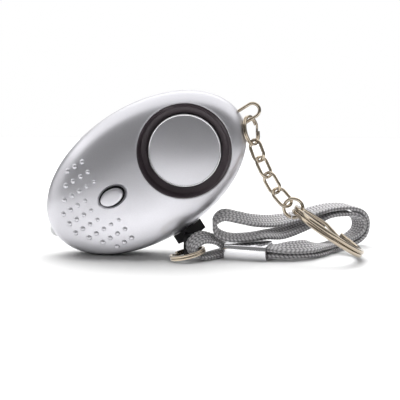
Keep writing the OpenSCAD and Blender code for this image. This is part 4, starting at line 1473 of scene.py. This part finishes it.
def floor_material(studio):
    """Pale floor that paints light into reflections: glossy rays see it glow in front of the alarm and dim behind
    it.
    """
    tree, shader, coordinates = node_setup("pale_floor")
    shader.inputs["Roughness"].default_value = 0.6
    shader.inputs["Emission Color"].default_value = (1, 1, 1, 1)
    away = tree.nodes.new("ShaderNodeVectorMath")
    away.operation = "DISTANCE"
    tree.links.new(coordinates, away.inputs[0])
    away.inputs[1].default_value = (studio.glow_right, studio.glow_back, 0)
    split = tree.nodes.new("ShaderNodeSeparateXYZ")
    tree.links.new(coordinates, split.inputs["Vector"])
    back = split.outputs["Y"]
    # Painted reflection: glossy rays see the floor glow near the alarm, fading towards its foot
    glow = remap(tree, back, studio.floor_reflection_glow, 0.0, studio.foot_start, studio.foot_end)
    glow = remap(tree, away.outputs["Value"], glow, 0.0, studio.glow_start, studio.glow_end)
    # Painted shade: glossy rays see the floor darker behind the alarm
    tone = remap(
        tree, back, studio.floor_tone, studio.floor_shade_in_reflections, studio.behind_start, studio.behind_end
    )
    glossy = tree.nodes.new("ShaderNodeLightPath").outputs["Is Glossy Ray"]
    tree.links.new(remap(tree, glossy, 0.0, glow), shader.inputs["Emission Strength"])
    tree.links.new(remap(tree, glossy, studio.floor_tone, tone), shader.inputs["Base Color"])


def backdrop_material(strength):
    """Plain glow of the backdrop."""
    shader = node_setup("bright_backdrop")[1]
    shader.inputs["Base Color"].default_value = (0, 0, 0, 1)
    shader.inputs["Emission Color"].default_value = (1, 1, 1, 1)
    shader.inputs["Emission Strength"].default_value = strength


def stage_plane(name, wide, deep, place, material):
    """A plain sheet of the stage."""
    bm = bmesh.new()
    spread = place @ Matrix.Diagonal((wide, deep, 1, 1))
    bmesh.ops.create_grid(bm, x_segments=1, y_segments=1, size=0.5, matrix=spread)
    mesh = bpy.data.meshes.new(name)
    bm.to_mesh(mesh)
    bm.free()
    mesh.materials.append(bpy.data.materials[material])
    sheet = bpy.data.objects.new(name, mesh)
    bpy.context.collection.objects.link(sheet)
    return sheet


def area_light(name, power, wide, deep, place, aimed_at, spread):
    """A soft rectangular light; its spread is in degrees."""
    lamp = bpy.data.lights.new(name, "AREA")
    lamp.shape = "RECTANGLE"
    lamp.size = wide
    lamp.size_y = deep
    lamp.energy = power
    lamp.spread = math.radians(spread)
    light = bpy.data.objects.new(name, lamp)
    bpy.context.collection.objects.link(light)
    light.location = place
    light.rotation_euler = (Vector(aimed_at) - Vector(place)).to_track_quat("-Z", "Y").to_euler()
    return light


class ALARM_OT_stage(bpy.types.Operator):
    """Sets the pale floor, the studio light and the camera"""

    bl_idname = "alarm.stage"
    bl_label = "Stage"

    def execute(self, context):
        studio = context.scene.alarm_studio
        self.sheets(studio)
        for name, wide, deep, place, aimed_at, spread, missed_by in LIGHTS:
            light = area_light(name, getattr(studio, name), wide, deep, place, aimed_at, spread)
            setattr(light, f"visible_{missed_by}", False)
        context.scene.world = self.room(studio)
        context.scene.view_settings.view_transform = "Standard"
        context.scene.cycles.caustics_reflective = False
        context.scene.camera = self.camera(context.scene.alarm_body, studio)
        return {"FINISHED"}

    @staticmethod
    def sheets(studio):
        """The floor, and the backdrop that only reflections see."""
        floor_material(studio)
        wide = studio.floor_left + studio.floor_right
        deep = studio.floor_front + studio.floor_back
        middle = Matrix.Translation((wide / 2 - studio.floor_left, deep / 2 - studio.floor_front, 0))
        stage_plane("floor", wide, deep, middle, "pale_floor")
        backdrop_material(studio.backdrop)
        wide, high = studio.backdrop_width, studio.backdrop_height
        middle = Matrix.Translation((0, studio.backdrop_away, high / 2))
        upright = middle @ Matrix.Rotation(math.pi / 2, 4, "X")
        backdrop = stage_plane("backdrop", wide, high, upright, "bright_backdrop")
        backdrop.visible_diffuse = False
        backdrop.visible_camera = False

    @staticmethod
    def room(studio):
        """A dim room that the camera sees as plain white."""
        world = bpy.data.worlds.new("dim_room")
        world.use_nodes = True
        tree = world.node_tree
        background = tree.nodes["Background"]
        background.inputs["Color"].default_value = (1, 1, 1, 1)
        rays = tree.nodes.new("ShaderNodeLightPath").outputs
        strength = remap(tree, rays["Is Glossy Ray"], studio.room, studio.room_gloss)
        strength = remap(tree, rays["Is Camera Ray"], strength, 1.0)
        tree.links.new(strength, background.inputs["Strength"])
        return world

    @staticmethod
    def camera(body, studio):
        """The camera at the photograph's viewing angle."""
        lens = bpy.data.cameras.new("camera")
        lens.sensor_width = 36
        lens.angle = studio.field
        lens.clip_start = 0.01
        camera = bpy.data.objects.new("camera", lens)
        bpy.context.collection.objects.link(camera)
        target = body_frame(body).translation + Vector((studio.aim_right, 0, -studio.aim_down))
        away = Vector((
            math.sin(studio.azimuth) * math.cos(studio.elevation),
            -math.cos(studio.azimuth) * math.cos(studio.elevation),
            math.sin(studio.elevation),
        ))
        camera.location = target + studio.distance * away
        camera.rotation_euler = (-away).to_track_quat("-Z", "Y").to_euler()
        return camera


OPERATORS = (
    ALARM_OT_finishes,
    ALARM_OT_front_shell,
    ALARM_OT_rear_shell,
    ALARM_OT_siren,
    ALARM_OT_button,
    ALARM_OT_lamp,
    ALARM_OT_chain,
    ALARM_OT_split_rings,
    ALARM_OT_pull_pin,
    ALARM_OT_strap,
    ALARM_OT_stage,
)
SETTINGS = {
    "alarm_body": AlarmBody,
    "alarm_siren": AlarmSiren,
    "alarm_button": AlarmButton,
    "alarm_bumps": AlarmBumps,
    "alarm_lamp": AlarmLamp,
    "alarm_chain": AlarmChain,
    "alarm_rings": AlarmRings,
    "alarm_pin": AlarmPin,
    "alarm_strap": AlarmStrap,
    "alarm_finish": AlarmFinish,
    "alarm_studio": AlarmStudio,
}


class ALARM_PT_panel(bpy.types.Panel):
    """Lists the steps that build the alarm"""

    bl_idname = "ALARM_PT_panel"
    bl_label = "Personal Alarm"
    bl_space_type = "VIEW_3D"
    bl_region_type = "UI"
    bl_category = "Alarm"

    def draw(self, context):
        for operator in OPERATORS:
            self.layout.operator(operator.bl_idname)


def register():
    """Registers the settings, the steps and the panel."""
    for name, group in SETTINGS.items():
        bpy.utils.register_class(group)
        setattr(bpy.types.Scene, name, PointerProperty(type=group))
    for operator in OPERATORS:
        bpy.utils.register_class(operator)
    bpy.utils.register_class(ALARM_PT_panel)


def unregister():
    """Removes what register adds."""
    bpy.utils.unregister_class(ALARM_PT_panel)
    for operator in reversed(OPERATORS):
        bpy.utils.unregister_class(operator)
    for name, group in reversed(SETTINGS.items()):
        delattr(bpy.types.Scene, name)
        bpy.utils.unregister_class(group)


def main():
    """Builds the alarm step by step."""
    register()
    for operator in OPERATORS:
        family, step = operator.bl_idname.split(".")
        getattr(getattr(bpy.ops, family), step)()


if __name__ == "__main__":
    main()
